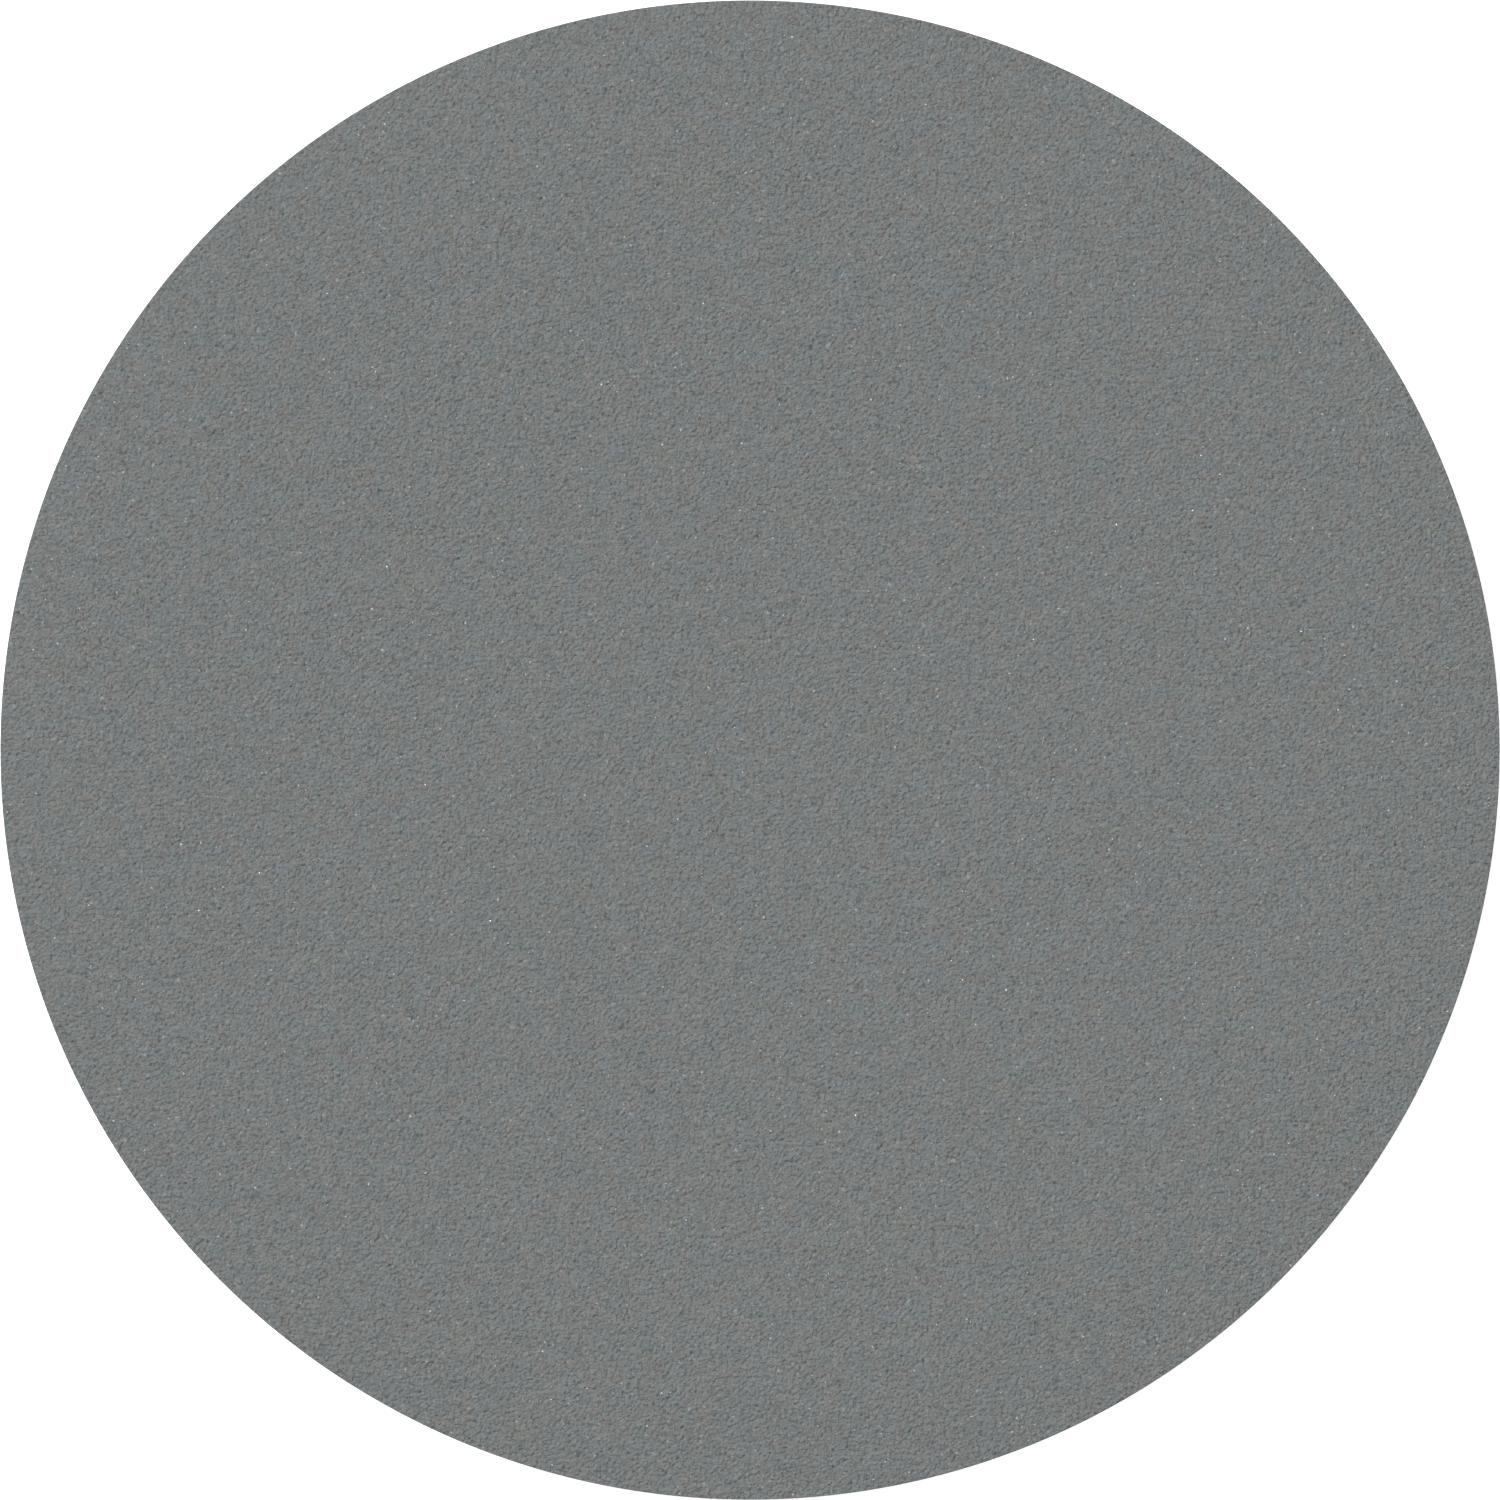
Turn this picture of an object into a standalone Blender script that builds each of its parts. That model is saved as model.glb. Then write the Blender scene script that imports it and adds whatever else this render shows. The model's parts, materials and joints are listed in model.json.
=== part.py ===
"""Round hinged manhole cover: a gritted glass-fibre lid over a galvanised neck frame.

Metres, +Z up. Origin at the centre of the base. -Y is the lock side, +Y the hinge side.
"""

import math

import bmesh
import bpy
from mathutils import Matrix, Vector

GAP = 0.0003
RING_STEPS = 96
SMALL_STEPS = 24
HEXAGON = 6
MERGE = 0.00001
SMOOTH_ANGLE = math.radians(35)
SOFT_ANGLE = math.radians(50)
CUT_PAST = 0.010

# lid
TOP_RADIUS = 0.400
TOP_Z = 0.1060
TOP_EDGE = 0.0008
PAN_TOP = 0.1020
PAN_UNDER = 0.0960
PAN_CORNER = 0.002
PAN_FILLET = 0.003
BOND_Z = PAN_UNDER - GAP
SKIRT_OUTER = 0.396
SKIRT_INNER = 0.391
SKIRT_BOTTOM = 0.0660
SKIRT_EDGE = 0.001
RIB_COUNT = 8
RIB_START = 0.0635
RIB_END = 0.2850
RIB_FLANGE_HALF = 0.0240
RIB_FLANGE_THICK = 0.0025
RIB_FOOT_HALF = 0.0170
RIB_CROWN_HALF = 0.0145
RIB_EDGE = 0.0008
HUB_RADIUS = 0.0600
HUB_CROWN_RADIUS = 0.0550
HUB_SHOULDER_RADIUS = 0.0580
HUB_SHOULDER_Z = 0.0690
HUB_STEPS = 48
SEAL_INNER = 0.2960
SEAL_OUTER = 0.3100
SEAL_WAIST_Z = 0.0945
SEAL_FOOT_INSET = 0.001
SEAL_LIP_INSET = 0.0015

# frame
COLLAR_OUTER = 0.306
COLLAR_INNER = 0.300
COLLAR_TOP = 0.0900
COLLAR_CLEAR_Z = 0.12
PLATE_EDGE = 0.0008
GASKET_THICK = 0.0030
GASKET_INNER = COLLAR_INNER + 0.0075
FLANGE_BOTTOM = GASKET_THICK + GAP
FLANGE_TOP = 0.0113
FLANGE_OUTER = 0.385
GASKET_OUTER = FLANGE_OUTER - 0.0015
ANCHOR_RADIUS = 0.352
ANCHOR_HOLE = 0.007
GASKET_HOLE = ANCHOR_HOLE + 0.0015
ANCHOR_COUNT = 8
ANCHOR_STEPS = 16
GUSSET_ANGLES = (0, 40, 140, 180, 220, 320)
GUSSET_THICK = 0.006
GUSSET_REACH = 0.3720
GUSSET_TOP_REACH = 0.3190
GUSSET_TOP = 0.0660
GUSSET_TOE = 0.005
GUSSET_NOTCH = 0.006
GUSSET_EDGE = 0.0005

# hinge
HINGE_Y = 0.351
HINGE_Z = 0.0750
HINGE_X = 0.100
EYE_RADIUS = 0.012
EYE_STEPS = 10
PIN_RADIUS = 0.005
PIN_BORE = PIN_RADIUS + GAP
EAR_CENTRES = (0.0925, 0.1075)
EAR_HALF = 0.003
EAR_TOP_HALF = 0.014
EAR_TOP = 0.0925
LUG_HALF = 0.004
LUG_ROOT_Y = 0.2850
LUG_BEND_Y = 0.2950
LUG_SHOULDER_Y = 0.3150
LUG_BOTTOM = 0.0360
LUG_TOP = 0.0855
LEAF_X = (0.072, 0.128)
LEAF_Y = (0.322, 0.366)
LEAF_BOTTOM = 0.0910
PIN_START = 0.0845
PIN_END = 0.1190
PIN_TIP = 0.0008
PIN_HEAD_END = 0.0890
PIN_HEAD_RADIUS = 0.0085
PIN_HEAD_EDGE = 0.0005
WASHER_RADIUS = 0.0095
WASHER_SPAN = (0.1108, 0.1126)
SPLIT_PIN_X = 0.1150
SPLIT_PIN_HOLE = 0.0014
SPLIT_PIN_WIRE = 0.0010

# leaf bolts
BOLT_X = (0.079, 0.121)
BOLT_Y = 0.333
BOLT_HEX = 0.0075
BOLT_HEAD = (0.0855, 0.0907)
BOLT_SHANK = 0.0040
BOLT_BORE = BOLT_SHANK + GAP
BOLT_TIP = 0.1000
BOLT_HOLE_TOP = 0.1005
BOLT_STEPS = 16

# lock, as distances from the axis and along -Y
LOCK_Z = 0.080
LOCK_STEPS = 32
BEZEL_RADIUS = 0.0155
BEZEL_SPAN = (0.3963, 0.3990)
BEZEL_EDGE = 0.001
BARREL_RADIUS = 0.0110
BARREL_START = 0.3740
BARREL_INNER = 0.0073
BARREL_MOUTH = 0.0006
NUT_HEX = 0.0152
NUT_SPAN = (0.3842, 0.3900)
PLUG_RADIUS = 0.0070
PLUG_SPAN = (0.3700, 0.3983)
PLUG_EDGE = 0.0004
PLUG_TAIL_RADIUS = 0.0045
PLUG_TAIL_START = 0.3658
PLUG_THREAD_RADIUS = 0.0023
PLUG_THREAD_END = 0.3770
KEY_RADIUS = 0.0052
KEY_FLOOR = 0.3910
KEY_SIDES = 3
CAM_Y = 0.36785
CAM_HALF = 0.00185
CAM_HEEL = 0.0078
CAM_HEEL_HALF = 0.0045
CAM_SHOULDER = 0.004
TONGUE_LENGTH = 0.042
TONGUE_HALF = 0.007
TONGUE_CORNER = 0.003
SCREW_HEAD_RADIUS = 0.0055
SCREW_HEAD_SPAN = (0.3615, 0.3655)
SCREW_HEAD_EDGE = 0.0005
SCREW_SHANK_RADIUS = 0.0020
SCREW_TIP = 0.3755

# keeper
KEEPER_X = (0.014, 0.050)
KEEPER_ROOT_Y = -0.3000
KEEPER_BEND_Y = -0.3066
KEEPER_LIP_Y = -0.3735
KEEPER_BOTTOM = 0.0620
KEEPER_LEG_TOP = 0.0870
KEEPER_TOP = 0.0920
KEEPER_THICK = 0.0042
KEEPER_LEG_Y = -0.3115

# handles
HANDLE_ANGLE = math.radians(24.0)
HANDLE_REACH = 0.379
HANDLE_Z = 0.056
HANDLE_WIRE = 0.005
HANDLE_HALF = 0.045
HANDLE_DROP = 0.036
HANDLE_BEND = 0.0062
BRACKET_INNER = HANDLE_HALF + HANDLE_WIRE + 0.0015
BRACKET_OUTER = BRACKET_INNER + 0.005
BRACKET_BACK = 0.0083
BRACKET_FRONT = 0.0040
BRACKET_BULGE = 0.0070
BRACKET_THICK = 0.0037
BRACKET_WEB = 0.0030
BRACKET_DROP = 0.012
HANDLE_END = BRACKET_OUTER + 0.0035

# hold-open bar
BAR_X = 0.2085
BAR_HALF = 0.0045
BAR_Y = 0.150
BAR_Z = 0.040
BAR_LENGTH = 0.330
BAR_WIDTH_HALF = 0.008
BAR_EYE = 0.011
BAR_PIN_HOLE = 0.0043
PIVOT_BLOCK_START = BAR_X + BAR_HALF + 0.0015
PIVOT_BLOCK_END = 0.285
PIVOT_BLOCK_HALF = 0.012
PIVOT_HEAD_RADIUS = 0.0090
PIVOT_HEAD_EDGE = 0.0006
PIVOT_HEAD_START = BAR_X - 0.0101
PIVOT_HEAD_END = BAR_X - 0.0055
PIVOT_TIP = BAR_X + 0.0270
REST_Y = (0.130, 0.150)
REST_LIP_X = BAR_X - 0.0105
REST_END_X = 0.290
REST_THICK = 0.0032
REST_LIP = 0.0140
CLEVIS_Y = 0.141
CLEVIS_Z = 0.0777
CLEVIS_HALF = 0.012
CLEVIS_SLOT_HALF = 0.007
CLEVIS_SLOT_TOP = 0.0863
CLEVIS_SPAN = (CLEVIS_Y - 0.014, CLEVIS_Y + 0.013)

YZ_PLANE = Matrix(((0, 0, 1), (1, 0, 0), (0, 1, 0))).to_4x4()
XZ_PLANE = Matrix(((1, 0, 0), (0, 0, -1), (0, 1, 0))).to_4x4()
LOCK_PLACE = Matrix.Translation((0, 0, LOCK_Z)) @ XZ_PLANE


def clear_scene():
    for obj in list(bpy.data.objects):
        bpy.data.objects.remove(obj, do_unlink=True)


clear_scene()
PARTS = bpy.data.collections.new("manhole_cover")
CUTTERS = bpy.data.collections.new("cutters")
bpy.context.scene.collection.children.link(PARTS)
bpy.context.scene.collection.children.link(CUTTERS)


def material(name, colour, roughness, metallic):
    made = bpy.data.materials.new(name)
    made.use_nodes = True
    shader = made.node_tree.nodes["Principled BSDF"]
    shader.inputs["Base Color"].default_value = (*colour, 1.0)
    shader.inputs["Roughness"].default_value = roughness
    shader.inputs["Metallic"].default_value = metallic
    made.diffuse_color = (*colour, 1.0)
    return made


def node(name, mesh, look):
    obj = bpy.data.objects.new(name, mesh)
    PARTS.objects.link(obj)
    mesh.materials.append(look)
    mesh.shade_smooth()
    if mesh.polygons:
        mesh.set_sharp_from_angle(angle=SMOOTH_ANGLE)
    return obj


def cutter(name, mesh):
    obj = bpy.data.objects.new(name, mesh)
    CUTTERS.objects.link(obj)
    obj.hide_render = True
    obj.display_type = "WIRE"
    return obj


def combine(obj, other, operation):
    change = obj.modifiers.new(operation.lower() + "_" + other.name, "BOOLEAN")
    change.operation = operation
    change.solver = "EXACT"
    change.object = other


def soften(obj, width):
    edge = obj.modifiers.new("soft_edges", "BEVEL")
    edge.width = width
    edge.segments = 1
    edge.limit_method = "ANGLE"
    edge.angle_limit = SOFT_ANGLE


def finished_mesh(name, bm):
    bmesh.ops.remove_doubles(bm, verts=bm.verts, dist=MERGE)
    bmesh.ops.recalc_face_normals(bm, faces=bm.faces)
    mesh = bpy.data.meshes.new(name)
    bm.to_mesh(mesh)
    bm.free()
    return mesh


def box_mesh(name, low, high):
    low = Vector(low)
    high = Vector(high)
    bm = bmesh.new()
    place = Matrix.Translation((low + high) / 2) @ Matrix.Diagonal((*(high - low), 1.0))
    bmesh.ops.create_cube(bm, size=1.0, matrix=place)
    return finished_mesh(name, bm)


def rod_mesh(name, rods, steps=SMALL_STEPS):
    """Closed cylinders, each given as (start, end, radius), in one mesh."""
    bm = bmesh.new()
    for start, end, radius in rods:
        start = Vector(start)
        span = Vector(end) - start
        turn = span.to_track_quat("Z", "Y").to_matrix().to_4x4()
        place = Matrix.Translation(start + span / 2) @ turn
        bmesh.ops.create_cone(
            bm, cap_ends=True, segments=steps, radius1=radius, radius2=radius,
            depth=span.length, matrix=place,
        )
    return finished_mesh(name, bm)


def plate_mesh(name, outline, low, high, place):
    """A flat outline given thickness from low to high along the plane's normal."""
    bm = bmesh.new()
    corners = [bm.verts.new((x, y, low)) for x, y in outline]
    face = bm.faces.new(corners)
    grown = bmesh.ops.extrude_face_region(bm, geom=[face])
    moved = [item for item in grown["geom"] if isinstance(item, bmesh.types.BMVert)]
    bmesh.ops.translate(bm, verts=moved, vec=(0, 0, high - low))
    bmesh.ops.transform(bm, matrix=place, verts=bm.verts)
    return finished_mesh(name, bm)


def turned_mesh(name, profile, closed):
    mesh = bpy.data.meshes.new(name)
    count = len(profile)
    edges = [(i, i + 1) for i in range(count - 1)]
    if closed:
        edges.append((count - 1, 0))
    mesh.from_pydata([(r, 0.0, z) for r, z in profile], edges, [])
    return mesh


def turned(name, profile, look, closed=True, steps=RING_STEPS):
    """A turned piece: the profile runs down its outer side at +X."""
    obj = node(name, turned_mesh(name, profile, closed), look)
    spin = obj.modifiers.new("turn", "SCREW")
    spin.steps = steps
    spin.render_steps = steps
    spin.use_merge_vertices = True
    spin.merge_threshold = MERGE
    spin.use_smooth_shade = False
    return obj


def arc(centre, radius, first, last, steps):
    points = []
    for i in range(steps + 1):
        angle = math.radians(first + (last - first) * i / steps)
        points.append((centre[0] + radius * math.cos(angle), centre[1] + radius * math.sin(angle)))
    return points


def rounded_path(points, radius, steps):
    """The path with each inner corner replaced by an arc of short straights."""
    path = [Vector(points[0])]
    for before, corner, after in zip(points, points[1:], points[2:]):
        corner = Vector(corner)
        back = (Vector(before) - corner).normalized()
        ahead = (Vector(after) - corner).normalized()
        half = back.angle(ahead) / 2
        cut = radius / math.tan(half)
        centre = corner + (back + ahead).normalized() * (radius / math.sin(half))
        start = corner + back * cut - centre
        end = corner + ahead * cut - centre
        for i in range(steps + 1):
            path.append(centre + start.slerp(end, i / steps).normalized() * radius)
    path.append(Vector(points[-1]))
    return path


def wire(name, path, radius, look, place, resolution):
    data = bpy.data.curves.new(name, "CURVE")
    data.dimensions = "3D"
    data.bevel_depth = radius
    data.bevel_resolution = resolution
    data.use_fill_caps = True
    line = data.splines.new("POLY")
    line.points.add(len(path) - 1)
    for point, spot in zip(line.points, path):
        point.co = (*spot, 1.0)
        point.radius = 1.0
    obj = bpy.data.objects.new(name, data)
    PARTS.objects.link(obj)
    data.materials.append(look)
    line.use_smooth = True
    obj.matrix_world = place
    return obj


def ring_points(count, radius, first=0.0):
    for i in range(count):
        angle = first + 2 * math.pi * i / count
        yield radius * math.cos(angle), radius * math.sin(angle)


def round_inside():
    rods = [((0, 0, 0), (0, 0, COLLAR_CLEAR_Z), COLLAR_INNER - GAP)]
    return rod_mesh("collar_inside", rods, RING_STEPS)


def round_outside():
    rods = [((0, 0, 0), (0, 0, COLLAR_CLEAR_Z), COLLAR_OUTER + GAP)]
    return rod_mesh("collar_outside", rods, RING_STEPS)


GRIT = material("bonded_grit", (0.19, 0.20, 0.20), 0.92, 0.0)
LAMINATE = material("glass_fibre", (0.24, 0.25, 0.24), 0.55, 0.0)
RUBBER = material("seal_rubber", (0.02, 0.02, 0.02), 0.7, 0.0)
ZINC = material("galvanised_steel", (0.55, 0.57, 0.58), 0.45, 0.9)
STAINLESS = material("stainless_steel", (0.60, 0.60, 0.60), 0.3, 1.0)
BRASS = material("plug_brass", (0.62, 0.48, 0.22), 0.35, 1.0)
PLATED = material("plated_bolt", (0.58, 0.58, 0.55), 0.35, 1.0)


def build_grit_top():
    bottom = PAN_TOP + GAP
    profile = [
        (0.0, TOP_Z),
        (TOP_RADIUS - TOP_EDGE, TOP_Z),
        (TOP_RADIUS, TOP_Z - TOP_EDGE),
        (TOP_RADIUS, bottom),
        (0.0, bottom),
    ]
    turned("grit_top", profile, GRIT, closed=False)


def build_lid_pan():
    profile = [
        (0.0, PAN_TOP),
        (SKIRT_OUTER - PAN_CORNER, PAN_TOP),
        (SKIRT_OUTER, PAN_TOP - PAN_CORNER),
        (SKIRT_OUTER, SKIRT_BOTTOM + SKIRT_EDGE),
        (SKIRT_OUTER - SKIRT_EDGE, SKIRT_BOTTOM),
        (SKIRT_INNER + SKIRT_EDGE, SKIRT_BOTTOM),
        (SKIRT_INNER, SKIRT_BOTTOM + SKIRT_EDGE),
        (SKIRT_INNER, PAN_UNDER - PAN_FILLET),
        (SKIRT_INNER - PAN_FILLET, PAN_UNDER),
        (0.0, PAN_UNDER),
    ]
    pan = turned("lid_pan", profile, LAMINATE, closed=False)
    bores = [((0, -TOP_RADIUS, LOCK_Z), (0, -SKIRT_INNER + CUT_PAST, LOCK_Z), BARREL_RADIUS + GAP)]
    for x, y in leaf_bolt_spots():
        bores.append(((x, y, LEAF_BOTTOM), (x, y, BOLT_HOLE_TOP), BOLT_BORE))
    combine(pan, cutter("pan_bores", rod_mesh("pan_bores", bores)), "DIFFERENCE")


def build_lid_seal():
    profile = [
        (SEAL_OUTER - SEAL_FOOT_INSET, BOND_Z),
        (SEAL_OUTER, SEAL_WAIST_Z),
        (SEAL_OUTER - SEAL_LIP_INSET, COLLAR_TOP + GAP),
        (SEAL_INNER + SEAL_LIP_INSET, COLLAR_TOP + GAP),
        (SEAL_INNER, SEAL_WAIST_Z),
        (SEAL_INNER + SEAL_FOOT_INSET, BOND_Z),
    ]
    turned("lid_seal", profile, RUBBER)


def build_ribs():
    profile = [
        (0.0, BOND_Z),
        (HUB_RADIUS, BOND_Z),
        (HUB_SHOULDER_RADIUS, HUB_SHOULDER_Z),
        (HUB_CROWN_RADIUS, SKIRT_BOTTOM),
        (0.0, SKIRT_BOTTOM),
    ]
    turned("rib_hub", profile, LAMINATE, closed=False, steps=HUB_STEPS)
    flange_z = BOND_Z - RIB_FLANGE_THICK
    hat = [
        (-RIB_FLANGE_HALF, BOND_Z),
        (RIB_FLANGE_HALF, BOND_Z),
        (RIB_FLANGE_HALF, flange_z),
        (RIB_FOOT_HALF, flange_z),
        (RIB_CROWN_HALF, SKIRT_BOTTOM),
        (-RIB_CROWN_HALF, SKIRT_BOTTOM),
        (-RIB_FOOT_HALF, flange_z),
        (-RIB_FLANGE_HALF, flange_z),
    ]
    for i in range(RIB_COUNT):
        place = Matrix.Rotation(2 * math.pi * i / RIB_COUNT, 4, "Z") @ YZ_PLANE
        mesh = plate_mesh(f"rib_{i + 1}", hat, RIB_START, RIB_END, place)
        soften(node(f"rib_{i + 1}", mesh, LAMINATE), RIB_EDGE)


def build_clevis():
    block = box_mesh(
        "prop_clevis",
        (BAR_X - CLEVIS_HALF, CLEVIS_SPAN[0], SKIRT_BOTTOM),
        (BAR_X + CLEVIS_HALF, CLEVIS_SPAN[1], BOND_Z),
    )
    obj = node("prop_clevis", block, ZINC)
    slot = box_mesh(
        "clevis_slot",
        (BAR_X - CLEVIS_SLOT_HALF, CLEVIS_SPAN[0] - CUT_PAST, SKIRT_BOTTOM - CUT_PAST),
        (BAR_X + CLEVIS_SLOT_HALF, CLEVIS_SPAN[1] + CUT_PAST, CLEVIS_SLOT_TOP),
    )
    combine(obj, cutter("clevis_slot", slot), "DIFFERENCE")
    reach = CLEVIS_HALF + CUT_PAST
    ends = [(BAR_X + side * reach, CLEVIS_Y, CLEVIS_Z) for side in (-1, 1)]
    bore = rod_mesh("clevis_bore", [(*ends, BAR_PIN_HOLE)])
    combine(obj, cutter("clevis_bore", bore), "DIFFERENCE")


def leaf_bolt_spots():
    for side in (-1, 1):
        for x in BOLT_X:
            yield side * x, BOLT_Y


def hinge_bore(centre, half):
    """A rod along the hinge axis, half the given length to each side of the centre."""
    return (centre - half, HINGE_Y, HINGE_Z), (centre + half, HINGE_Y, HINGE_Z), PIN_BORE


def build_hinge_leaf(side, word):
    """The plate under the pan with two ears, each a round eye carried up to a flat top."""
    low_x, high_x = sorted(side * x for x in LEAF_X)
    plate = box_mesh("leaf", (low_x, LEAF_Y[0], LEAF_BOTTOM), (high_x, LEAF_Y[1], BOND_Z))
    leaf = node(f"hinge_leaf_{word}", plate, ZINC)
    outline = [(HINGE_Y + EAR_TOP_HALF, EAR_TOP)]
    outline += reversed(arc((HINGE_Y, HINGE_Z), EYE_RADIUS, 180, 360, EYE_STEPS))
    outline.append((HINGE_Y - EAR_TOP_HALF, EAR_TOP))
    for number, centre in enumerate(EAR_CENTRES):
        middle = side * centre
        mesh = plate_mesh("ear", outline, middle - EAR_HALF, middle + EAR_HALF, YZ_PLANE)
        combine(leaf, cutter(f"leaf_ear_{word}_{number}", mesh), "UNION")
    bores = [hinge_bore(side * HINGE_X, high_x - low_x)]
    for x, y in leaf_bolt_spots():
        if x * side > 0:
            bores.append(((x, y, BOLT_HEAD[0]), (x, y, BOLT_TIP), BOLT_BORE))
    combine(leaf, cutter(f"leaf_bores_{word}", rod_mesh("bores", bores)), "DIFFERENCE")


def build_hinge_lug(side, word):
    centre = side * HINGE_X
    outline = [(LUG_ROOT_Y, LUG_BOTTOM), (LUG_BEND_Y, LUG_BOTTOM)]
    outline += arc((HINGE_Y, HINGE_Z), EYE_RADIUS, -65, 90, EYE_STEPS)
    outline += [(LUG_SHOULDER_Y, LUG_TOP), (LUG_ROOT_Y, LUG_TOP)]
    mesh = plate_mesh("lug", outline, centre - LUG_HALF, centre + LUG_HALF, YZ_PLANE)
    lug = node(f"hinge_lug_{word}", mesh, ZINC)
    bore = rod_mesh("bore", [hinge_bore(centre, LUG_HALF + CUT_PAST)])
    combine(lug, cutter(f"lug_bore_{word}", bore), "DIFFERENCE")
    combine(lug, cutter(f"lug_seat_{word}", round_outside()), "DIFFERENCE")


def build_hinge_pin(side, word):
    turn = Matrix.Rotation(side * math.pi / 2, 4, "Y")
    place = Matrix.Translation((0, HINGE_Y, HINGE_Z)) @ turn
    profile = [
        (0.0, PIN_END),
        (PIN_RADIUS - PIN_TIP, PIN_END),
        (PIN_RADIUS, PIN_END - PIN_TIP),
        (PIN_RADIUS, PIN_HEAD_END),
        (PIN_HEAD_RADIUS - PIN_HEAD_EDGE, PIN_HEAD_END),
        (PIN_HEAD_RADIUS, PIN_HEAD_END - PIN_HEAD_EDGE),
        (PIN_HEAD_RADIUS, PIN_START + PIN_HEAD_EDGE),
        (PIN_HEAD_RADIUS - PIN_HEAD_EDGE, PIN_START),
        (0.0, PIN_START),
    ]
    pin = turned(f"hinge_pin_{word}", profile, STAINLESS, closed=False, steps=SMALL_STEPS)
    pin.matrix_world = place
    x = side * SPLIT_PIN_X
    ends = [(x, HINGE_Y, HINGE_Z + hand * PIN_RADIUS * 2) for hand in (-1, 1)]
    hole = rod_mesh("hole", [(*ends, SPLIT_PIN_HOLE)], SMALL_STEPS // 2)
    combine(pin, cutter(f"pin_hole_{word}", hole), "DIFFERENCE")
    near, far = WASHER_SPAN
    ring = [(WASHER_RADIUS, far), (WASHER_RADIUS, near), (PIN_BORE, near), (PIN_BORE, far)]
    washer = turned(f"hinge_washer_{word}", ring, STAINLESS, steps=SMALL_STEPS)
    washer.matrix_world = place


def build_split_pin(side, word):
    """A bent tail under the hinge pin, a straight through its hole and a loop above."""
    tail = [(0, 0.0055, -0.0085), (0, 0.0, -0.0068), (0, 0.0, 0.0062)]
    loop = [(0, y, z) for y, z in arc((0.0030, 0.0068), 0.0030, 180, -60, EYE_STEPS)]
    path = rounded_path(tail, 2 * SPLIT_PIN_WIRE, 3) + [Vector(spot) for spot in loop]
    spot = Matrix.Translation((side * SPLIT_PIN_X, HINGE_Y, HINGE_Z))
    wire(f"split_pin_{word}", path, SPLIT_PIN_WIRE, STAINLESS, spot, 1)


def build_leaf_bolts():
    for number, (x, y) in enumerate(leaf_bolt_spots()):
        name = f"leaf_bolt_{number + 1}"
        low, high = BOLT_HEAD
        head = rod_mesh(name, [((x, y, low), (x, y, high), BOLT_HEX)], HEXAGON)
        bolt = node(name, head, PLATED)
        start = (x, y, (low + high) / 2)
        shank = rod_mesh("shank", [(start, (x, y, BOLT_TIP), BOLT_SHANK)], BOLT_STEPS)
        combine(bolt, cutter(f"{name}_shank", shank), "UNION")


def lock_piece(obj):
    """Lays a piece that was made about +Z along the lock's axis, out through the skirt."""
    obj.matrix_world = LOCK_PLACE
    return obj


def lock_rod(name, start, end, radius, steps=SMALL_STEPS):
    mesh = rod_mesh(name, [((0, 0, start), (0, 0, end), radius)], steps)
    return lock_piece(cutter(name, mesh))


def build_lock_housing():
    bezel_start, bezel_end = BEZEL_SPAN
    profile = [
        (BEZEL_RADIUS - BEZEL_EDGE, bezel_end),
        (BEZEL_RADIUS, bezel_end - BEZEL_EDGE),
        (BEZEL_RADIUS, bezel_start),
        (BARREL_RADIUS, bezel_start),
        (BARREL_RADIUS, BARREL_START),
        (BARREL_INNER, BARREL_START),
        (BARREL_INNER, bezel_end - BARREL_MOUTH),
        (BARREL_INNER + BARREL_MOUTH, bezel_end),
    ]
    lock_piece(turned("lock_housing", profile, STAINLESS, steps=LOCK_STEPS))
    start, end = NUT_SPAN
    nut = node("lock_nut", rod_mesh("nut", [((0, 0, start), (0, 0, end), NUT_HEX)], HEXAGON), PLATED)
    nut.matrix_world = LOCK_PLACE @ Matrix.Rotation(math.pi / HEXAGON, 4, "Z")
    thread = lock_rod(
        "nut_thread", start - CUT_PAST, end + CUT_PAST, BARREL_RADIUS + GAP, LOCK_STEPS
    )
    combine(nut, thread, "DIFFERENCE")


def build_lock_plug():
    start, end = PLUG_SPAN
    profile = [
        (0.0, end),
        (PLUG_RADIUS - PLUG_EDGE, end),
        (PLUG_RADIUS, end - PLUG_EDGE),
        (PLUG_RADIUS, start),
        (PLUG_TAIL_RADIUS, start),
        (PLUG_TAIL_RADIUS, PLUG_TAIL_START),
        (PLUG_THREAD_RADIUS, PLUG_TAIL_START),
        (PLUG_THREAD_RADIUS, PLUG_THREAD_END),
        (0.0, PLUG_THREAD_END),
    ]
    plug = lock_piece(turned("lock_plug", profile, BRASS, closed=False, steps=SMALL_STEPS))
    socket = lock_rod("key_socket", KEY_FLOOR, end + CUT_PAST, KEY_RADIUS, KEY_SIDES)
    combine(plug, socket, "DIFFERENCE")


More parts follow.
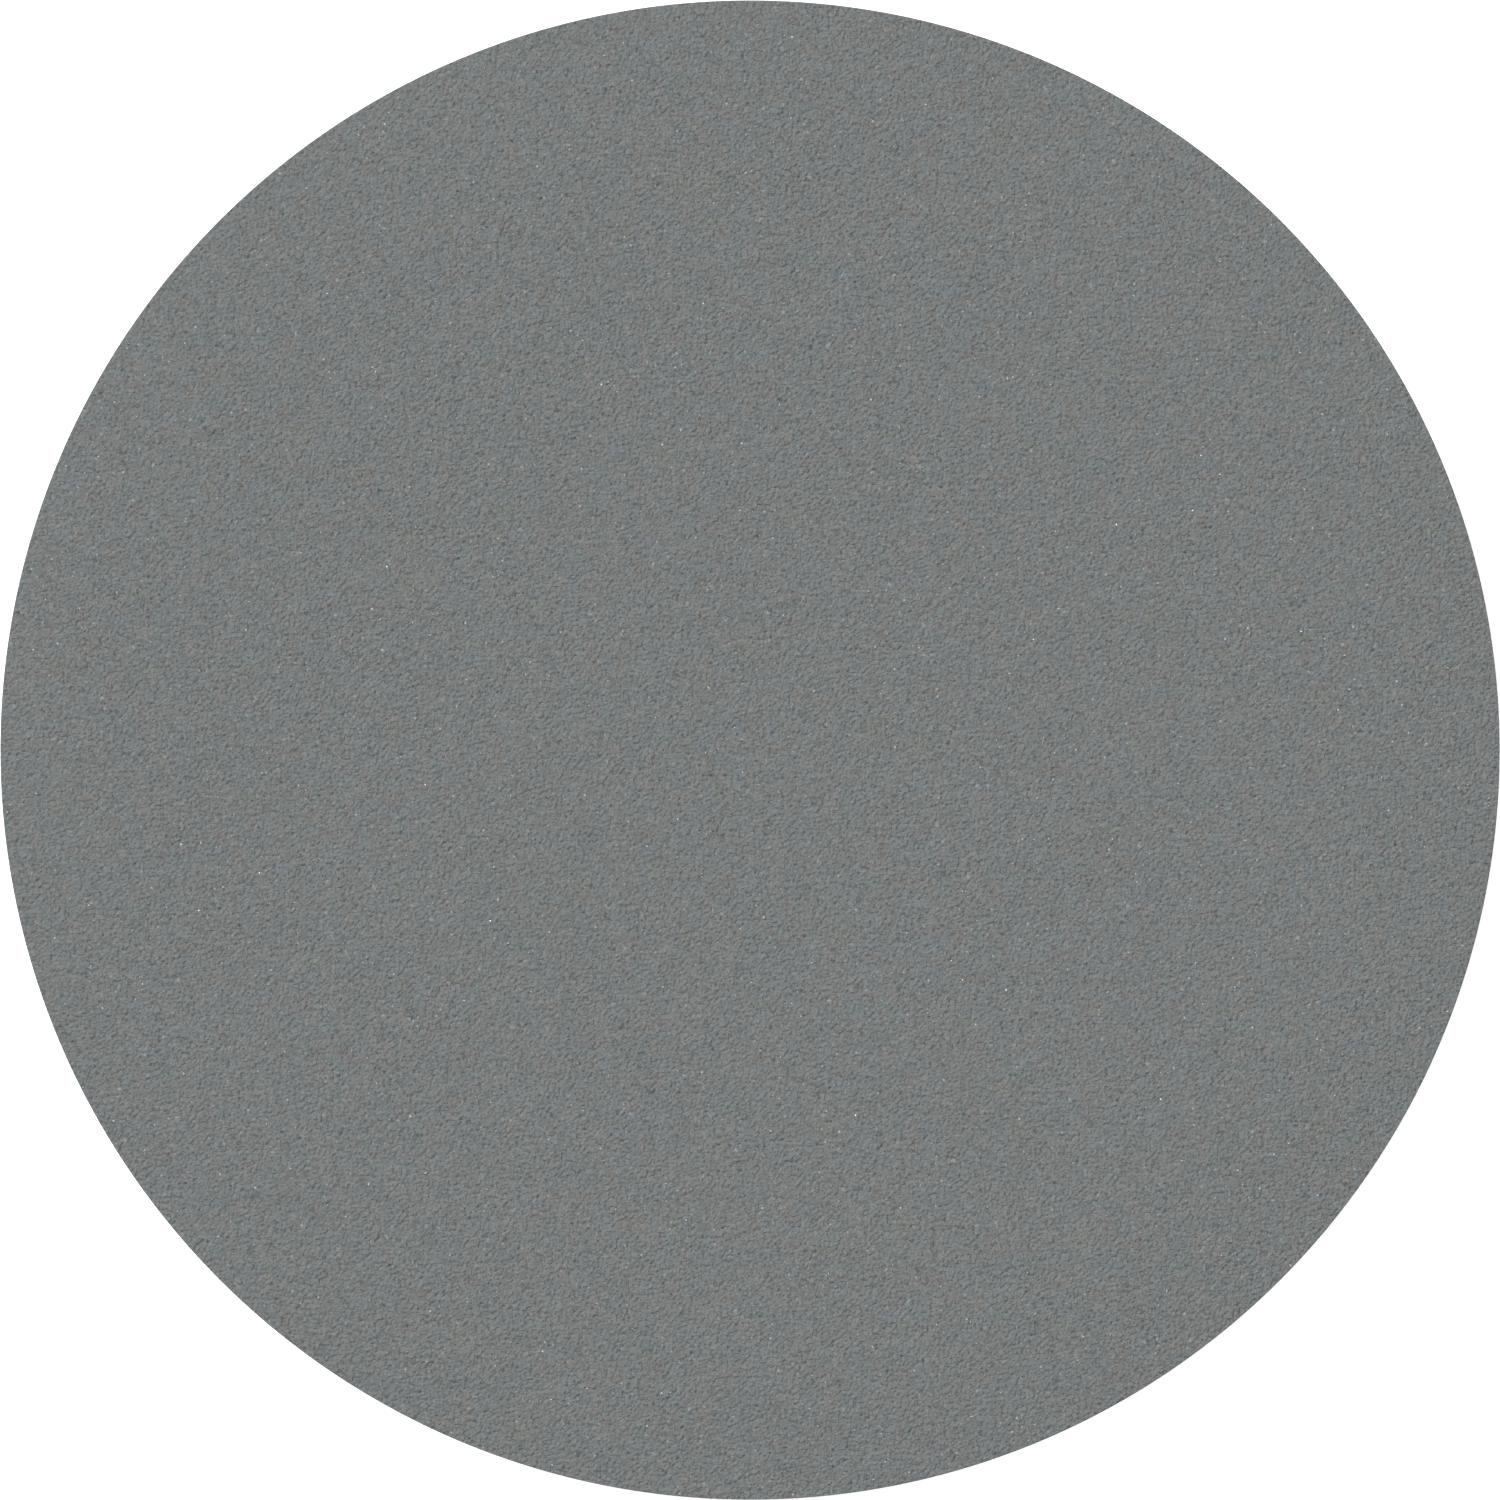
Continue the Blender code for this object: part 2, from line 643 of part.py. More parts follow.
def build_lock_cam():
    """The tongue hangs down at rest; its heel is above the lock's axis."""
    outline = [
        (TONGUE_HALF, CAM_SHOULDER),
        (CAM_HEEL_HALF, CAM_HEEL),
        (-CAM_HEEL_HALF, CAM_HEEL),
        (-TONGUE_HALF, CAM_SHOULDER),
        (-TONGUE_HALF, TONGUE_CORNER - TONGUE_LENGTH),
        (TONGUE_CORNER - TONGUE_HALF, -TONGUE_LENGTH),
        (TONGUE_HALF - TONGUE_CORNER, -TONGUE_LENGTH),
        (TONGUE_HALF, TONGUE_CORNER - TONGUE_LENGTH),
    ]
    mesh = plate_mesh("cam", outline, CAM_Y - CAM_HALF, CAM_Y + CAM_HALF, Matrix())
    cam = lock_piece(node("lock_cam", mesh, ZINC))
    past = CAM_HALF + CUT_PAST
    combine(cam, lock_rod("cam_bore", CAM_Y - past, CAM_Y + past, PLUG_TAIL_RADIUS + GAP), "DIFFERENCE")
    low, high = SCREW_HEAD_SPAN
    screw = [
        (0.0, SCREW_TIP),
        (SCREW_SHANK_RADIUS, SCREW_TIP),
        (SCREW_SHANK_RADIUS, high),
        (SCREW_HEAD_RADIUS, high),
        (SCREW_HEAD_RADIUS, low + SCREW_HEAD_EDGE),
        (SCREW_HEAD_RADIUS - SCREW_HEAD_EDGE, low),
        (0.0, low),
    ]
    lock_piece(turned("cam_screw", screw, PLATED, closed=False, steps=BOLT_STEPS))


def build_keeper():
    """A folded plate welded to the collar, whose top leg the turned tongue pulls up against."""
    under = KEEPER_TOP - KEEPER_THICK
    fold = KEEPER_TOP - KEEPER_LEG_TOP
    outline = [
        (KEEPER_ROOT_Y, KEEPER_BOTTOM),
        (KEEPER_ROOT_Y, KEEPER_LEG_TOP),
        (KEEPER_BEND_Y, KEEPER_LEG_TOP),
        (KEEPER_BEND_Y - fold, KEEPER_TOP),
        (KEEPER_LIP_Y, KEEPER_TOP),
        (KEEPER_LIP_Y, under),
        (KEEPER_LEG_Y - fold / 2, under),
        (KEEPER_LEG_Y, under - fold / 2),
        (KEEPER_LEG_Y, KEEPER_BOTTOM),
    ]
    mesh = plate_mesh("keeper", outline, *KEEPER_X, YZ_PLANE)
    keeper = node("lock_keeper", mesh, ZINC)
    combine(keeper, cutter("keeper_seat", round_outside()), "DIFFERENCE")


def build_handle_bracket(word, place):
    """A plate under the pan with a web behind the handle and an ear at each end."""
    top = BOND_Z - HANDLE_Z
    web_front = BRACKET_BACK - BRACKET_WEB
    base = box_mesh(
        "base",
        (-BRACKET_OUTER, -BRACKET_FRONT, top - BRACKET_THICK),
        (BRACKET_OUTER, BRACKET_BACK, top),
    )
    bracket = node(f"handle_bracket_{word}", base, ZINC)
    bracket.matrix_world = place
    web = box_mesh(
        "web", (-BRACKET_OUTER, web_front, -BRACKET_DROP), (BRACKET_OUTER, BRACKET_BACK, top)
    )
    outline = [
        (-BRACKET_FRONT, top),
        (-BRACKET_FRONT, top - BRACKET_DROP / 2),
        (-BRACKET_BULGE, top - BRACKET_DROP),
        (-BRACKET_BULGE, BRACKET_FRONT),
    ]
    outline += arc((0.0, 0.0), BRACKET_BACK, 160, 350, 8)
    outline += [(BRACKET_BACK, top)]
    left = plate_mesh("ear", outline, -BRACKET_OUTER, -BRACKET_INNER, YZ_PLANE)
    right = plate_mesh("ear", outline, BRACKET_INNER, BRACKET_OUTER, YZ_PLANE)
    for label, mesh in (("web", web), ("ear_a", left), ("ear_b", right)):
        added = cutter(f"bracket_{label}_{word}", mesh)
        added.matrix_world = place
        combine(bracket, added, "UNION")
    ends = [(side * (BRACKET_OUTER + CUT_PAST), 0, 0) for side in (-1, 1)]
    hole = cutter(f"bracket_bore_{word}", rod_mesh("bore", [(*ends, HANDLE_WIRE + GAP)]))
    hole.matrix_world = place
    combine(bracket, hole, "DIFFERENCE")


def build_handle(side, word):
    turn = Matrix.Rotation(side * HANDLE_ANGLE, 4, "Z")
    place = turn @ Matrix.Translation((0, -HANDLE_REACH, HANDLE_Z))
    build_handle_bracket(word, place)
    corners = [
        (-HANDLE_END, 0, 0),
        (-HANDLE_HALF, 0, 0),
        (-HANDLE_HALF, 0, -HANDLE_DROP),
        (HANDLE_HALF, 0, -HANDLE_DROP),
        (HANDLE_HALF, 0, 0),
        (HANDLE_END, 0, 0),
    ]
    path = rounded_path(corners, HANDLE_BEND, 4)
    wire(f"handle_{word}", path, HANDLE_WIRE, STAINLESS, place, 3)


def build_collar():
    profile = [
        (COLLAR_OUTER - PLATE_EDGE, COLLAR_TOP),
        (COLLAR_OUTER, COLLAR_TOP - PLATE_EDGE),
        (COLLAR_OUTER, FLANGE_BOTTOM),
        (COLLAR_INNER, FLANGE_BOTTOM),
        (COLLAR_INNER, COLLAR_TOP - PLATE_EDGE),
        (COLLAR_INNER + PLATE_EDGE, COLLAR_TOP),
    ]
    turned("collar", profile, ZINC)


def anchor_bores(name, radius):
    """Upright rods on the anchor circle, longer than the flange and its gasket are thick."""
    spots = ring_points(ANCHOR_COUNT, ANCHOR_RADIUS, math.pi / ANCHOR_COUNT)
    bores = [((x, y, -CUT_PAST), (x, y, FLANGE_TOP + CUT_PAST), radius) for x, y in spots]
    return cutter(name, rod_mesh(name, bores, ANCHOR_STEPS))


def build_flange():
    inner = COLLAR_OUTER + GAP
    profile = [
        (FLANGE_OUTER - PLATE_EDGE, FLANGE_TOP),
        (FLANGE_OUTER, FLANGE_TOP - PLATE_EDGE),
        (FLANGE_OUTER, FLANGE_BOTTOM),
        (inner, FLANGE_BOTTOM),
        (inner, FLANGE_TOP),
    ]
    flange = turned("base_flange", profile, ZINC)
    combine(flange, anchor_bores("flange_bores", ANCHOR_HOLE), "DIFFERENCE")
    pad = [
        (GASKET_OUTER, GASKET_THICK),
        (GASKET_OUTER, 0.0),
        (GASKET_INNER, 0.0),
        (GASKET_INNER, GASKET_THICK),
    ]
    gasket = turned("base_gasket", pad, RUBBER)
    combine(gasket, anchor_bores("gasket_bores", GASKET_HOLE), "DIFFERENCE")


def build_gussets():
    foot = FLANGE_TOP + GAP
    wall = COLLAR_OUTER + GAP
    outline = [
        (wall + GUSSET_NOTCH, foot),
        (GUSSET_REACH, foot),
        (GUSSET_REACH, foot + GUSSET_TOE),
        (GUSSET_TOP_REACH, GUSSET_TOP),
        (wall, GUSSET_TOP),
        (wall, foot + GUSSET_NOTCH),
    ]
    for number, angle in enumerate(GUSSET_ANGLES):
        place = Matrix.Rotation(math.radians(angle), 4, "Z") @ XZ_PLANE
        name = f"gusset_{number + 1}"
        mesh = plate_mesh(name, outline, -GUSSET_THICK / 2, GUSSET_THICK / 2, place)
        soften(node(name, mesh, ZINC), GUSSET_EDGE)


def build_prop_pivot():
    """The block welded inside the collar, and the headed pin that the bar turns on."""
    block = box_mesh(
        "block",
        (PIVOT_BLOCK_START, BAR_Y - PIVOT_BLOCK_HALF, BAR_Z - PIVOT_BLOCK_HALF),
        (PIVOT_BLOCK_END, BAR_Y + PIVOT_BLOCK_HALF, BAR_Z + PIVOT_BLOCK_HALF),
    )
    bracket = node("prop_bracket", block, ZINC)
    combine(bracket, cutter("bracket_seat", round_inside()), "INTERSECT")
    ends = [(x, BAR_Y, BAR_Z) for x in (PIVOT_HEAD_START, PIVOT_TIP + PIN_TIP)]
    bore = rod_mesh("bore", [(*ends, PIN_BORE)])
    combine(bracket, cutter("bracket_bore", bore), "DIFFERENCE")
    profile = [
        (0.0, PIVOT_TIP),
        (PIN_RADIUS - PIVOT_HEAD_EDGE, PIVOT_TIP),
        (PIN_RADIUS, PIVOT_TIP - PIVOT_HEAD_EDGE),
        (PIN_RADIUS, PIVOT_HEAD_END),
        (PIVOT_HEAD_RADIUS, PIVOT_HEAD_END),
        (PIVOT_HEAD_RADIUS, PIVOT_HEAD_START + PIVOT_HEAD_EDGE),
        (PIVOT_HEAD_RADIUS - PIVOT_HEAD_EDGE, PIVOT_HEAD_START),
        (0.0, PIVOT_HEAD_START),
    ]
    pin = turned("prop_pin", profile, STAINLESS, closed=False, steps=SMALL_STEPS)
    turn = Matrix.Rotation(math.pi / 2, 4, "Y")
    pin.matrix_world = Matrix.Translation((0, BAR_Y, BAR_Z)) @ turn


def build_prop_bar():
    """A flat bar with a round eye at its pivot and a hole near its free end, towards -Y."""
    bend = math.degrees(math.asin(BAR_WIDTH_HALF / BAR_EYE))
    outline = arc((0.0, 0.0), BAR_EYE, bend, 360 - bend, 14)
    outline += arc((BAR_LENGTH, 0.0), BAR_WIDTH_HALF, -90, 90, 8)
    outline = [(-x, y) for x, y in outline]
    place = Matrix.Translation((BAR_X, BAR_Y, BAR_Z)) @ YZ_PLANE
    bar = node("prop_bar", plate_mesh("bar", outline, -BAR_HALF, BAR_HALF, Matrix()), ZINC)
    bar.matrix_world = place
    past = BAR_HALF + CUT_PAST
    rods = [
        ((x, 0, -past), (x, 0, past), radius)
        for x, radius in ((0, PIN_BORE), (-BAR_LENGTH, BAR_PIN_HOLE))
    ]
    drilled = cutter("bar_holes", rod_mesh("holes", rods))
    drilled.matrix_world = place
    combine(bar, drilled, "DIFFERENCE")


def build_prop_rest():
    """The lipped shelf that the stowed bar lies on."""
    shelf = BAR_Z - BAR_WIDTH_HALF - GAP
    lip_end = REST_LIP_X + REST_THICK
    outline = [
        (REST_LIP_X, shelf - REST_THICK),
        (REST_END_X, shelf - REST_THICK),
        (REST_END_X, shelf),
        (lip_end, shelf),
        (lip_end, shelf + REST_LIP),
        (REST_LIP_X, shelf + REST_LIP),
    ]
    rest = node("prop_rest", plate_mesh("rest", outline, *REST_Y, XZ_PLANE), ZINC)
    combine(rest, cutter("rest_seat", round_inside()), "INTERSECT")


def main():
    build_grit_top()
    build_lid_pan()
    build_lid_seal()
    build_ribs()
    build_clevis()
    for side, word in ((-1, "left"), (1, "right")):
        build_hinge_leaf(side, word)
        build_hinge_lug(side, word)
        build_hinge_pin(side, word)
        build_split_pin(side, word)
        build_handle(side, word)
    build_leaf_bolts()
    build_lock_housing()
    build_lock_plug()
    build_lock_cam()
    build_keeper()
    build_collar()
    build_flange()
    build_gussets()
    build_prop_pivot()
    build_prop_bar()
    build_prop_rest()


main()
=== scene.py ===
"""The looks of a round hinged manhole cover: gritted lid, laminate pan and galvanised neck frame."""

import json
import math
import random

import bmesh
import bpy
from mathutils import Matrix, Vector


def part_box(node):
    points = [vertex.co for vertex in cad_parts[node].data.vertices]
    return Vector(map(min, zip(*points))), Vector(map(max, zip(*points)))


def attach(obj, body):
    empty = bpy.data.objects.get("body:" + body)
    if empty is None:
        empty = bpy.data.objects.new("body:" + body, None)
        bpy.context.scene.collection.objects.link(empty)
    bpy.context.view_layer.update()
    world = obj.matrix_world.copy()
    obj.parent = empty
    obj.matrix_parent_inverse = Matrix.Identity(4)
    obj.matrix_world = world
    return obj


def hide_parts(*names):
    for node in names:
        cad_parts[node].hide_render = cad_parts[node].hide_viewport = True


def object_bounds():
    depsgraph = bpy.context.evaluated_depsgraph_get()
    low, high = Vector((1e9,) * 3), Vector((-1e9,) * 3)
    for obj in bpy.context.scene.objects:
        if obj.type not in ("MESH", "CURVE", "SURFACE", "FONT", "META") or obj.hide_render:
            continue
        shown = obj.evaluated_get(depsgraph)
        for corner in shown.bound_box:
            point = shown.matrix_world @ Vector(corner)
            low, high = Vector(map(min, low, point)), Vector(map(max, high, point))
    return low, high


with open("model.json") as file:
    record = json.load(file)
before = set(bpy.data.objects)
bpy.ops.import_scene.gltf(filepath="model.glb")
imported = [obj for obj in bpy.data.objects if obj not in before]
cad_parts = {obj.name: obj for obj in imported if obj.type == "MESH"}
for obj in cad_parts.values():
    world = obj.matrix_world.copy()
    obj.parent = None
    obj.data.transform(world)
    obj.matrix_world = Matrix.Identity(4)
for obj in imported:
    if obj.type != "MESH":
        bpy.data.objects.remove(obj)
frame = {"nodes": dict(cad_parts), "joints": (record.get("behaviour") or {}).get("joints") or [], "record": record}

cad_low, cad_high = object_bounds()
BODY_OF = {
    node: body
    for body, members in frame["record"]["behaviour"]["bodies"].items()
    for node in members
}
JOINT = {joint["name"]: joint for joint in frame["joints"]}
FULL_TURN = 2 * math.pi
MERGE = 0.00001
SHARP_ANGLE = math.radians(38.0)
FLAT_ANGLE = math.radians(0.6)

# driving sizes, read from the frame, in metres
TREAD_LOW, TREAD_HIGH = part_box("grit_top")
TREAD_RADIUS = TREAD_HIGH.x
TREAD_TOP = TREAD_HIGH.z
COLLAR_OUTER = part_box("collar")[1].x
COLLAR_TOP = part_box("collar")[1].z
COLLAR_INNER = COLLAR_OUTER - 0.006
FLANGE_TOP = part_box("base_flange")[1].z
GUSSET_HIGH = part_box("gusset_1")[1]
RIB_LOW, RIB_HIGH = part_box("rib_1")
HUB_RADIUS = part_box("rib_hub")[1].x
PAN_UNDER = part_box("rib_hub")[1].z
SKIRT_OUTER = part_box("lid_pan")[1].x
SKIRT_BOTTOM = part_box("lid_pan")[0].z
SEAL_LOW, SEAL_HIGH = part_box("lid_seal")

# gritted top: the resin bed and the grains pressed into its face and its rim
RESIN_TOP = TREAD_TOP - 0.0005
BED_TOP_EDGE = 0.0009
BED_FOOT_EDGE = 0.0006
SECTORS = 4
GRAIN_COUNT = 40000
GRAIN_SIZE = (0.00038, 0.00085)
GRAIN_BREADTH = (0.6, 1.0)
GRAIN_DEPTH = (0.5, 0.8)
GRAIN_LEAN = 0.4
GRAIN_MARGIN = 0.0012
RIM_GRAIN_COUNT = 1800
RIM_GRAIN_SIZE = (0.0003, 0.0006)
RIM_GRAIN_DEPTH = 0.5
RIM_GRAIN_LEAN = 0.3
RIM_GRAIN_SINK = 0.0002
RIM_MARGIN = 0.0006

# lid
SKIRT_LINES = (0.0015, 0.0285)
SKIRT_LINE_RADIUS = 0.0007
SEAL_WIDTH = 0.014
PASTE_STEP = 0.004
HUB_PASTE = 0.0022
HUB_PASTE_SWELL = (-0.0005, 0.0006)
RIB_PASTE = 0.0017
RIB_PASTE_SWELL = (-0.0004, 0.0005)
BOLT_HEAD = 0.0052
BOLT_CHAMFER = 0.0011
BOLT_WASHER = 0.0006
HANDLE_ANGLE = math.radians(24.0)
HANDLE_HALF = 0.045
HANDLE_DROP = 0.036
HANDLE_REACH = 0.060
HANDLE_BEND = 0.0062
HANDLE_BAR = 0.005

# weld beads: the ripple's spacing, how far a bead stands off a skin, and the beads' sizes
RIPPLE = 0.0021
OFF_SKIN = 0.0004
BESIDE_PLATE = 0.0006
FLANGE_BEAD = 0.0026
GUSSET_BEAD = 0.0019
FITTING_BEAD = 0.0018
PIVOT_BEAD = 0.0019
REST_BEAD = 0.0016
REST_PLATE = 0.0032
GUSSET_ANGLES = (0, 40, 140, 180, 220, 320)
WELD_OUTSIDE = COLLAR_OUTER + OFF_SKIN
WELD_INSIDE = COLLAR_INNER - OFF_SKIN


# ---------------------------------------------------------------- shader helpers


def feed(tree, socket, value):
    """Links a socket into this input, or sets a plain number or colour on it."""
    if isinstance(value, bpy.types.NodeSocket):
        tree.links.new(value, socket)
    elif value is not None:
        socket.default_value = value


def number(tree, operation, first, second=None, third=None):
    """One step of arithmetic on plain numbers or sockets."""
    node = tree.nodes.new("ShaderNodeMath")
    node.operation = operation
    for socket, value in zip(node.inputs, (first, second, third)):
        feed(tree, socket, value)
    return node.outputs[0]


def blend_colour(tree, factor, first, second, mode="MIX"):
    node = tree.nodes.new("ShaderNodeMix")
    node.data_type = "RGBA"
    node.blend_type = mode
    feed(tree, node.inputs["Factor"], factor)
    feed(tree, node.inputs[6], first)
    feed(tree, node.inputs[7], second)
    return node.outputs[2]


def remap(tree, value, low, high, new_low=0.0, new_high=1.0):
    """The value's run from low to high, spread from new_low to new_high and held there."""
    node = tree.nodes.new("ShaderNodeMapRange")
    feed(tree, node.inputs["Value"], value)
    feed(tree, node.inputs["From Min"], low)
    feed(tree, node.inputs["From Max"], high)
    feed(tree, node.inputs["To Min"], new_low)
    feed(tree, node.inputs["To Max"], new_high)
    return node.outputs["Result"]


def noise(tree, vector, scale, detail=2.0, roughness=0.5):
    node = tree.nodes.new("ShaderNodeTexNoise")
    feed(tree, node.inputs["Vector"], vector)
    feed(tree, node.inputs["Scale"], scale)
    feed(tree, node.inputs["Detail"], detail)
    feed(tree, node.inputs["Roughness"], roughness)
    return node.outputs["Fac"]


def cells(tree, vector, scale, feature="F1"):
    node = tree.nodes.new("ShaderNodeTexVoronoi")
    node.feature = feature
    feed(tree, node.inputs["Vector"], vector)
    feed(tree, node.inputs["Scale"], scale)
    return node


def stretched(tree, vector, scale):
    node = tree.nodes.new("ShaderNodeMapping")
    feed(tree, node.inputs["Vector"], vector)
    node.inputs["Scale"].default_value = scale
    return node.outputs["Vector"]


def channels(tree, colour):
    """A colour's red, green and blue."""
    node = tree.nodes.new("ShaderNodeSeparateColor")
    tree.links.new(colour, node.inputs["Color"])
    return node.outputs


def shaded(tree, colour, tone):
    """A colour made lighter or darker by a number that changes over the surface."""
    grey = tree.nodes.new("ShaderNodeCombineColor")
    for channel in grey.inputs:
        tree.links.new(tone, channel)
    return blend_colour(tree, 1.0, colour, grey.outputs["Color"], "MULTIPLY")


def opaque(colour, share=1.0):
    """A colour with its alpha, at this share of its brightness."""
    return (*[channel * share for channel in colour], 1.0)


def new_group(name, inputs, outputs):
    """A shader group with these named sockets: (its tree, the values given, the values put out)."""
    tree = bpy.data.node_groups.new(name, "ShaderNodeTree")
    for label, kind, value in inputs:
        socket = tree.interface.new_socket(name=label, in_out="INPUT", socket_type=kind)
        if value is not None:
            socket.default_value = value
    for label, kind in outputs:
        tree.interface.new_socket(name=label, in_out="OUTPUT", socket_type=kind)
    source = tree.nodes.new("NodeGroupInput")
    sink = tree.nodes.new("NodeGroupOutput")
    return tree, source.outputs, sink.inputs


def use_group(tree, group, **values):
    """Places a shared effect with these values on its named inputs; returns its outputs."""
    node = tree.nodes.new("ShaderNodeGroup")
    node.node_tree = group
    for label, value in values.items():
        feed(tree, node.inputs[label.replace("_", " ")], value)
    return node.outputs


VECTOR = "NodeSocketVector"
FLOAT = "NodeSocketFloat"
COLOUR = "NodeSocketColor"


# ---------------------------------------------------------------- shared effects

CRYSTAL_BEND = 0.006
CRYSTAL_BEND_SCALE = 120.0
STRAND_SCALE = (900.0, 60.0, 300.0)
STRAND_LAYERS = (1.0, 1.7)


def make_grit_group():
    """Packed stone grains: a tone for each grain and the height of its rounded top."""
    tree, given, out = new_group(
        "packed_grains",
        [("Vector", VECTOR, None), ("Scale", FLOAT, 600.0), ("Unevenness", FLOAT, 0.6)],
        [("Tone", FLOAT), ("Height", FLOAT)],
    )
    grains = cells(tree, given["Vector"], given["Scale"])
    stone = channels(tree, grains.outputs["Color"])
    dome = number(tree, "SUBTRACT", 0.75, grains.outputs["Distance"])
    size = number(tree, "MULTIPLY_ADD", stone["Green"], given["Unevenness"], dome)
    tree.links.new(stone["Red"], out["Tone"])
    tree.links.new(size, out["Height"])
    return tree


def make_mottle_group():
    """A slow drift between a cool and a warm shade of one colour."""
    tree, given, out = new_group(
        "shade_drift",
        [
            ("Vector", VECTOR, None),
            ("Scale", FLOAT, 60.0),
            ("Colour", COLOUR, (0.5, 0.5, 0.5, 1)),
            ("Cool", COLOUR, (0.5, 0.5, 0.5, 1)),
            ("Warm", COLOUR, (0.5, 0.5, 0.5, 1)),
            ("Amount", FLOAT, 0.5),
        ],
        [("Colour", COLOUR)],
    )
    drift = noise(tree, given["Vector"], given["Scale"], 4.0, 0.72)
    cool = number(tree, "MULTIPLY", remap(tree, drift, 0.55, 0.30), given["Amount"])
    warm = number(tree, "MULTIPLY", remap(tree, drift, 0.45, 0.70), given["Amount"])
    tinted = blend_colour(tree, cool, given["Colour"], given["Cool"])
    tree.links.new(blend_colour(tree, warm, tinted, given["Warm"]), out["Colour"])
    return tree


def make_spangle_group():
    """Zinc crystals: flat patches of slightly different grey with frosted edges."""
    tree, given, out = new_group(
        "zinc_spangle",
        [("Vector", VECTOR, None), ("Scale", FLOAT, 90.0)],
        [("Tone", FLOAT), ("Frost", FLOAT), ("Height", FLOAT)],
    )
    drift = tree.nodes.new("ShaderNodeTexNoise")
    tree.links.new(given["Vector"], drift.inputs["Vector"])
    drift.inputs["Scale"].default_value = CRYSTAL_BEND_SCALE
    bent = tree.nodes.new("ShaderNodeVectorMath")
    bent.operation = "MULTIPLY_ADD"
    tree.links.new(drift.outputs["Color"], bent.inputs[0])
    bent.inputs[1].default_value = (CRYSTAL_BEND,) * 3
    tree.links.new(given["Vector"], bent.inputs[2])
    crystals = cells(tree, bent.outputs[0], given["Scale"])
    edges = cells(tree, bent.outputs[0], given["Scale"], "DISTANCE_TO_EDGE")
    frost = remap(tree, edges.outputs["Distance"], 0.0, 0.12, 1.0, 0.0)
    grain = noise(tree, given["Vector"], 900.0, 3.0, 0.6)
    height = number(tree, "MULTIPLY_ADD", frost, -0.12, grain)
    tree.links.new(channels(tree, crystals.outputs["Color"])["Red"], out["Tone"])
    tree.links.new(frost, out["Frost"])
    tree.links.new(height, out["Height"])
    return tree


def make_dust_group():
    """Settled dust: upward faces, in broken patches."""
    tree, given, out = new_group(
        "settled_dust",
        [("Vector", VECTOR, None), ("Amount", FLOAT, 0.5), ("Scale", FLOAT, 40.0)],
        [("Mask", FLOAT)],
    )
    shape = tree.nodes.new("ShaderNodeNewGeometry")
    facing = tree.nodes.new("ShaderNodeVectorTransform")
    facing.vector_type = "NORMAL"
    facing.convert_from = "WORLD"
    facing.convert_to = "OBJECT"
    tree.links.new(shape.outputs["Normal"], facing.inputs["Vector"])
    split = tree.nodes.new("ShaderNodeSeparateXYZ")
    tree.links.new(facing.outputs["Vector"], split.inputs["Vector"])
    upward = remap(tree, split.outputs["Z"], 0.2, 0.95)
    patches = remap(tree, noise(tree, given["Vector"], given["Scale"], 5.0, 0.65), 0.35, 0.75)
    mask = number(tree, "MULTIPLY", upward, patches)
    tree.links.new(number(tree, "MULTIPLY", mask, given["Amount"]), out["Mask"])
    return tree


def make_wear_group():
    """Rubbed corners: sharp outward edges, broken up by noise."""
    tree, given, out = new_group(
        "rubbed_corners",
        [("Vector", VECTOR, None), ("Amount", FLOAT, 0.5)],
        [("Mask", FLOAT)],
    )
    shape = tree.nodes.new("ShaderNodeNewGeometry")
    edge = remap(tree, shape.outputs["Pointiness"], 0.53, 0.62)
    broken = remap(tree, noise(tree, given["Vector"], 220.0, 4.0, 0.6), 0.4, 0.6)
    mask = number(tree, "MULTIPLY", edge, broken)
    tree.links.new(number(tree, "MULTIPLY", mask, given["Amount"]), out["Mask"])
    return tree


def make_strand_group():
    """Chopped glass strands lying in resin, each bundle at its own angle."""
    tree, given, out = new_group(
        "chopped_strands",
        [("Vector", VECTOR, None), ("Bundle Scale", FLOAT, 45.0)],
        [("Mask", FLOAT)],
    )
    total = None
    for spread in STRAND_LAYERS:
        scale = number(tree, "MULTIPLY", given["Bundle Scale"], spread)
        bundles = cells(tree, given["Vector"], scale)
        angle = number(
            tree, "MULTIPLY", channels(tree, bundles.outputs["Color"])["Red"], FULL_TURN
        )
        turn = tree.nodes.new("ShaderNodeVectorRotate")
        turn.rotation_type = "Z_AXIS"
        tree.links.new(given["Vector"], turn.inputs["Vector"])
        tree.links.new(angle, turn.inputs["Angle"])
        lay = stretched(tree, turn.outputs["Vector"], STRAND_SCALE)
        strand = remap(tree, noise(tree, lay, 1.0, 1.0, 0.4), 0.56, 0.66)
        total = strand if total is None else number(tree, "MAXIMUM", total, strand)
    tree.links.new(total, out["Mask"])
    return tree


GRAINS = make_grit_group()
DRIFT = make_mottle_group()
SPANGLE = make_spangle_group()
DUST = make_dust_group()
WEAR = make_wear_group()
STRANDS = make_strand_group()


# ---------------------------------------------------------------- materials


def new_material(name, roughness, metallic=0.0):
    """A material with its shader, and the object's own coordinates."""
    made = bpy.data.materials.new(name)
    made.use_nodes = True
    tree = made.node_tree
    shader = tree.nodes["Principled BSDF"]
    shader.inputs["Roughness"].default_value = roughness
    shader.inputs["Metallic"].default_value = metallic
    place = tree.nodes.new("ShaderNodeTexCoord").outputs["Object"]
    return made, tree, shader, place


def raise_surface(tree, shader, height, depth, strength):
    """Lights the surface as if it stood up by this height, as deep as depth in metres."""
    bump = tree.nodes.new("ShaderNodeBump")
    bump.inputs["Strength"].default_value = strength
    bump.inputs["Distance"].default_value = depth
    tree.links.new(height, bump.inputs["Height"])
    tree.links.new(bump.outputs["Normal"], shader.inputs["Normal"])


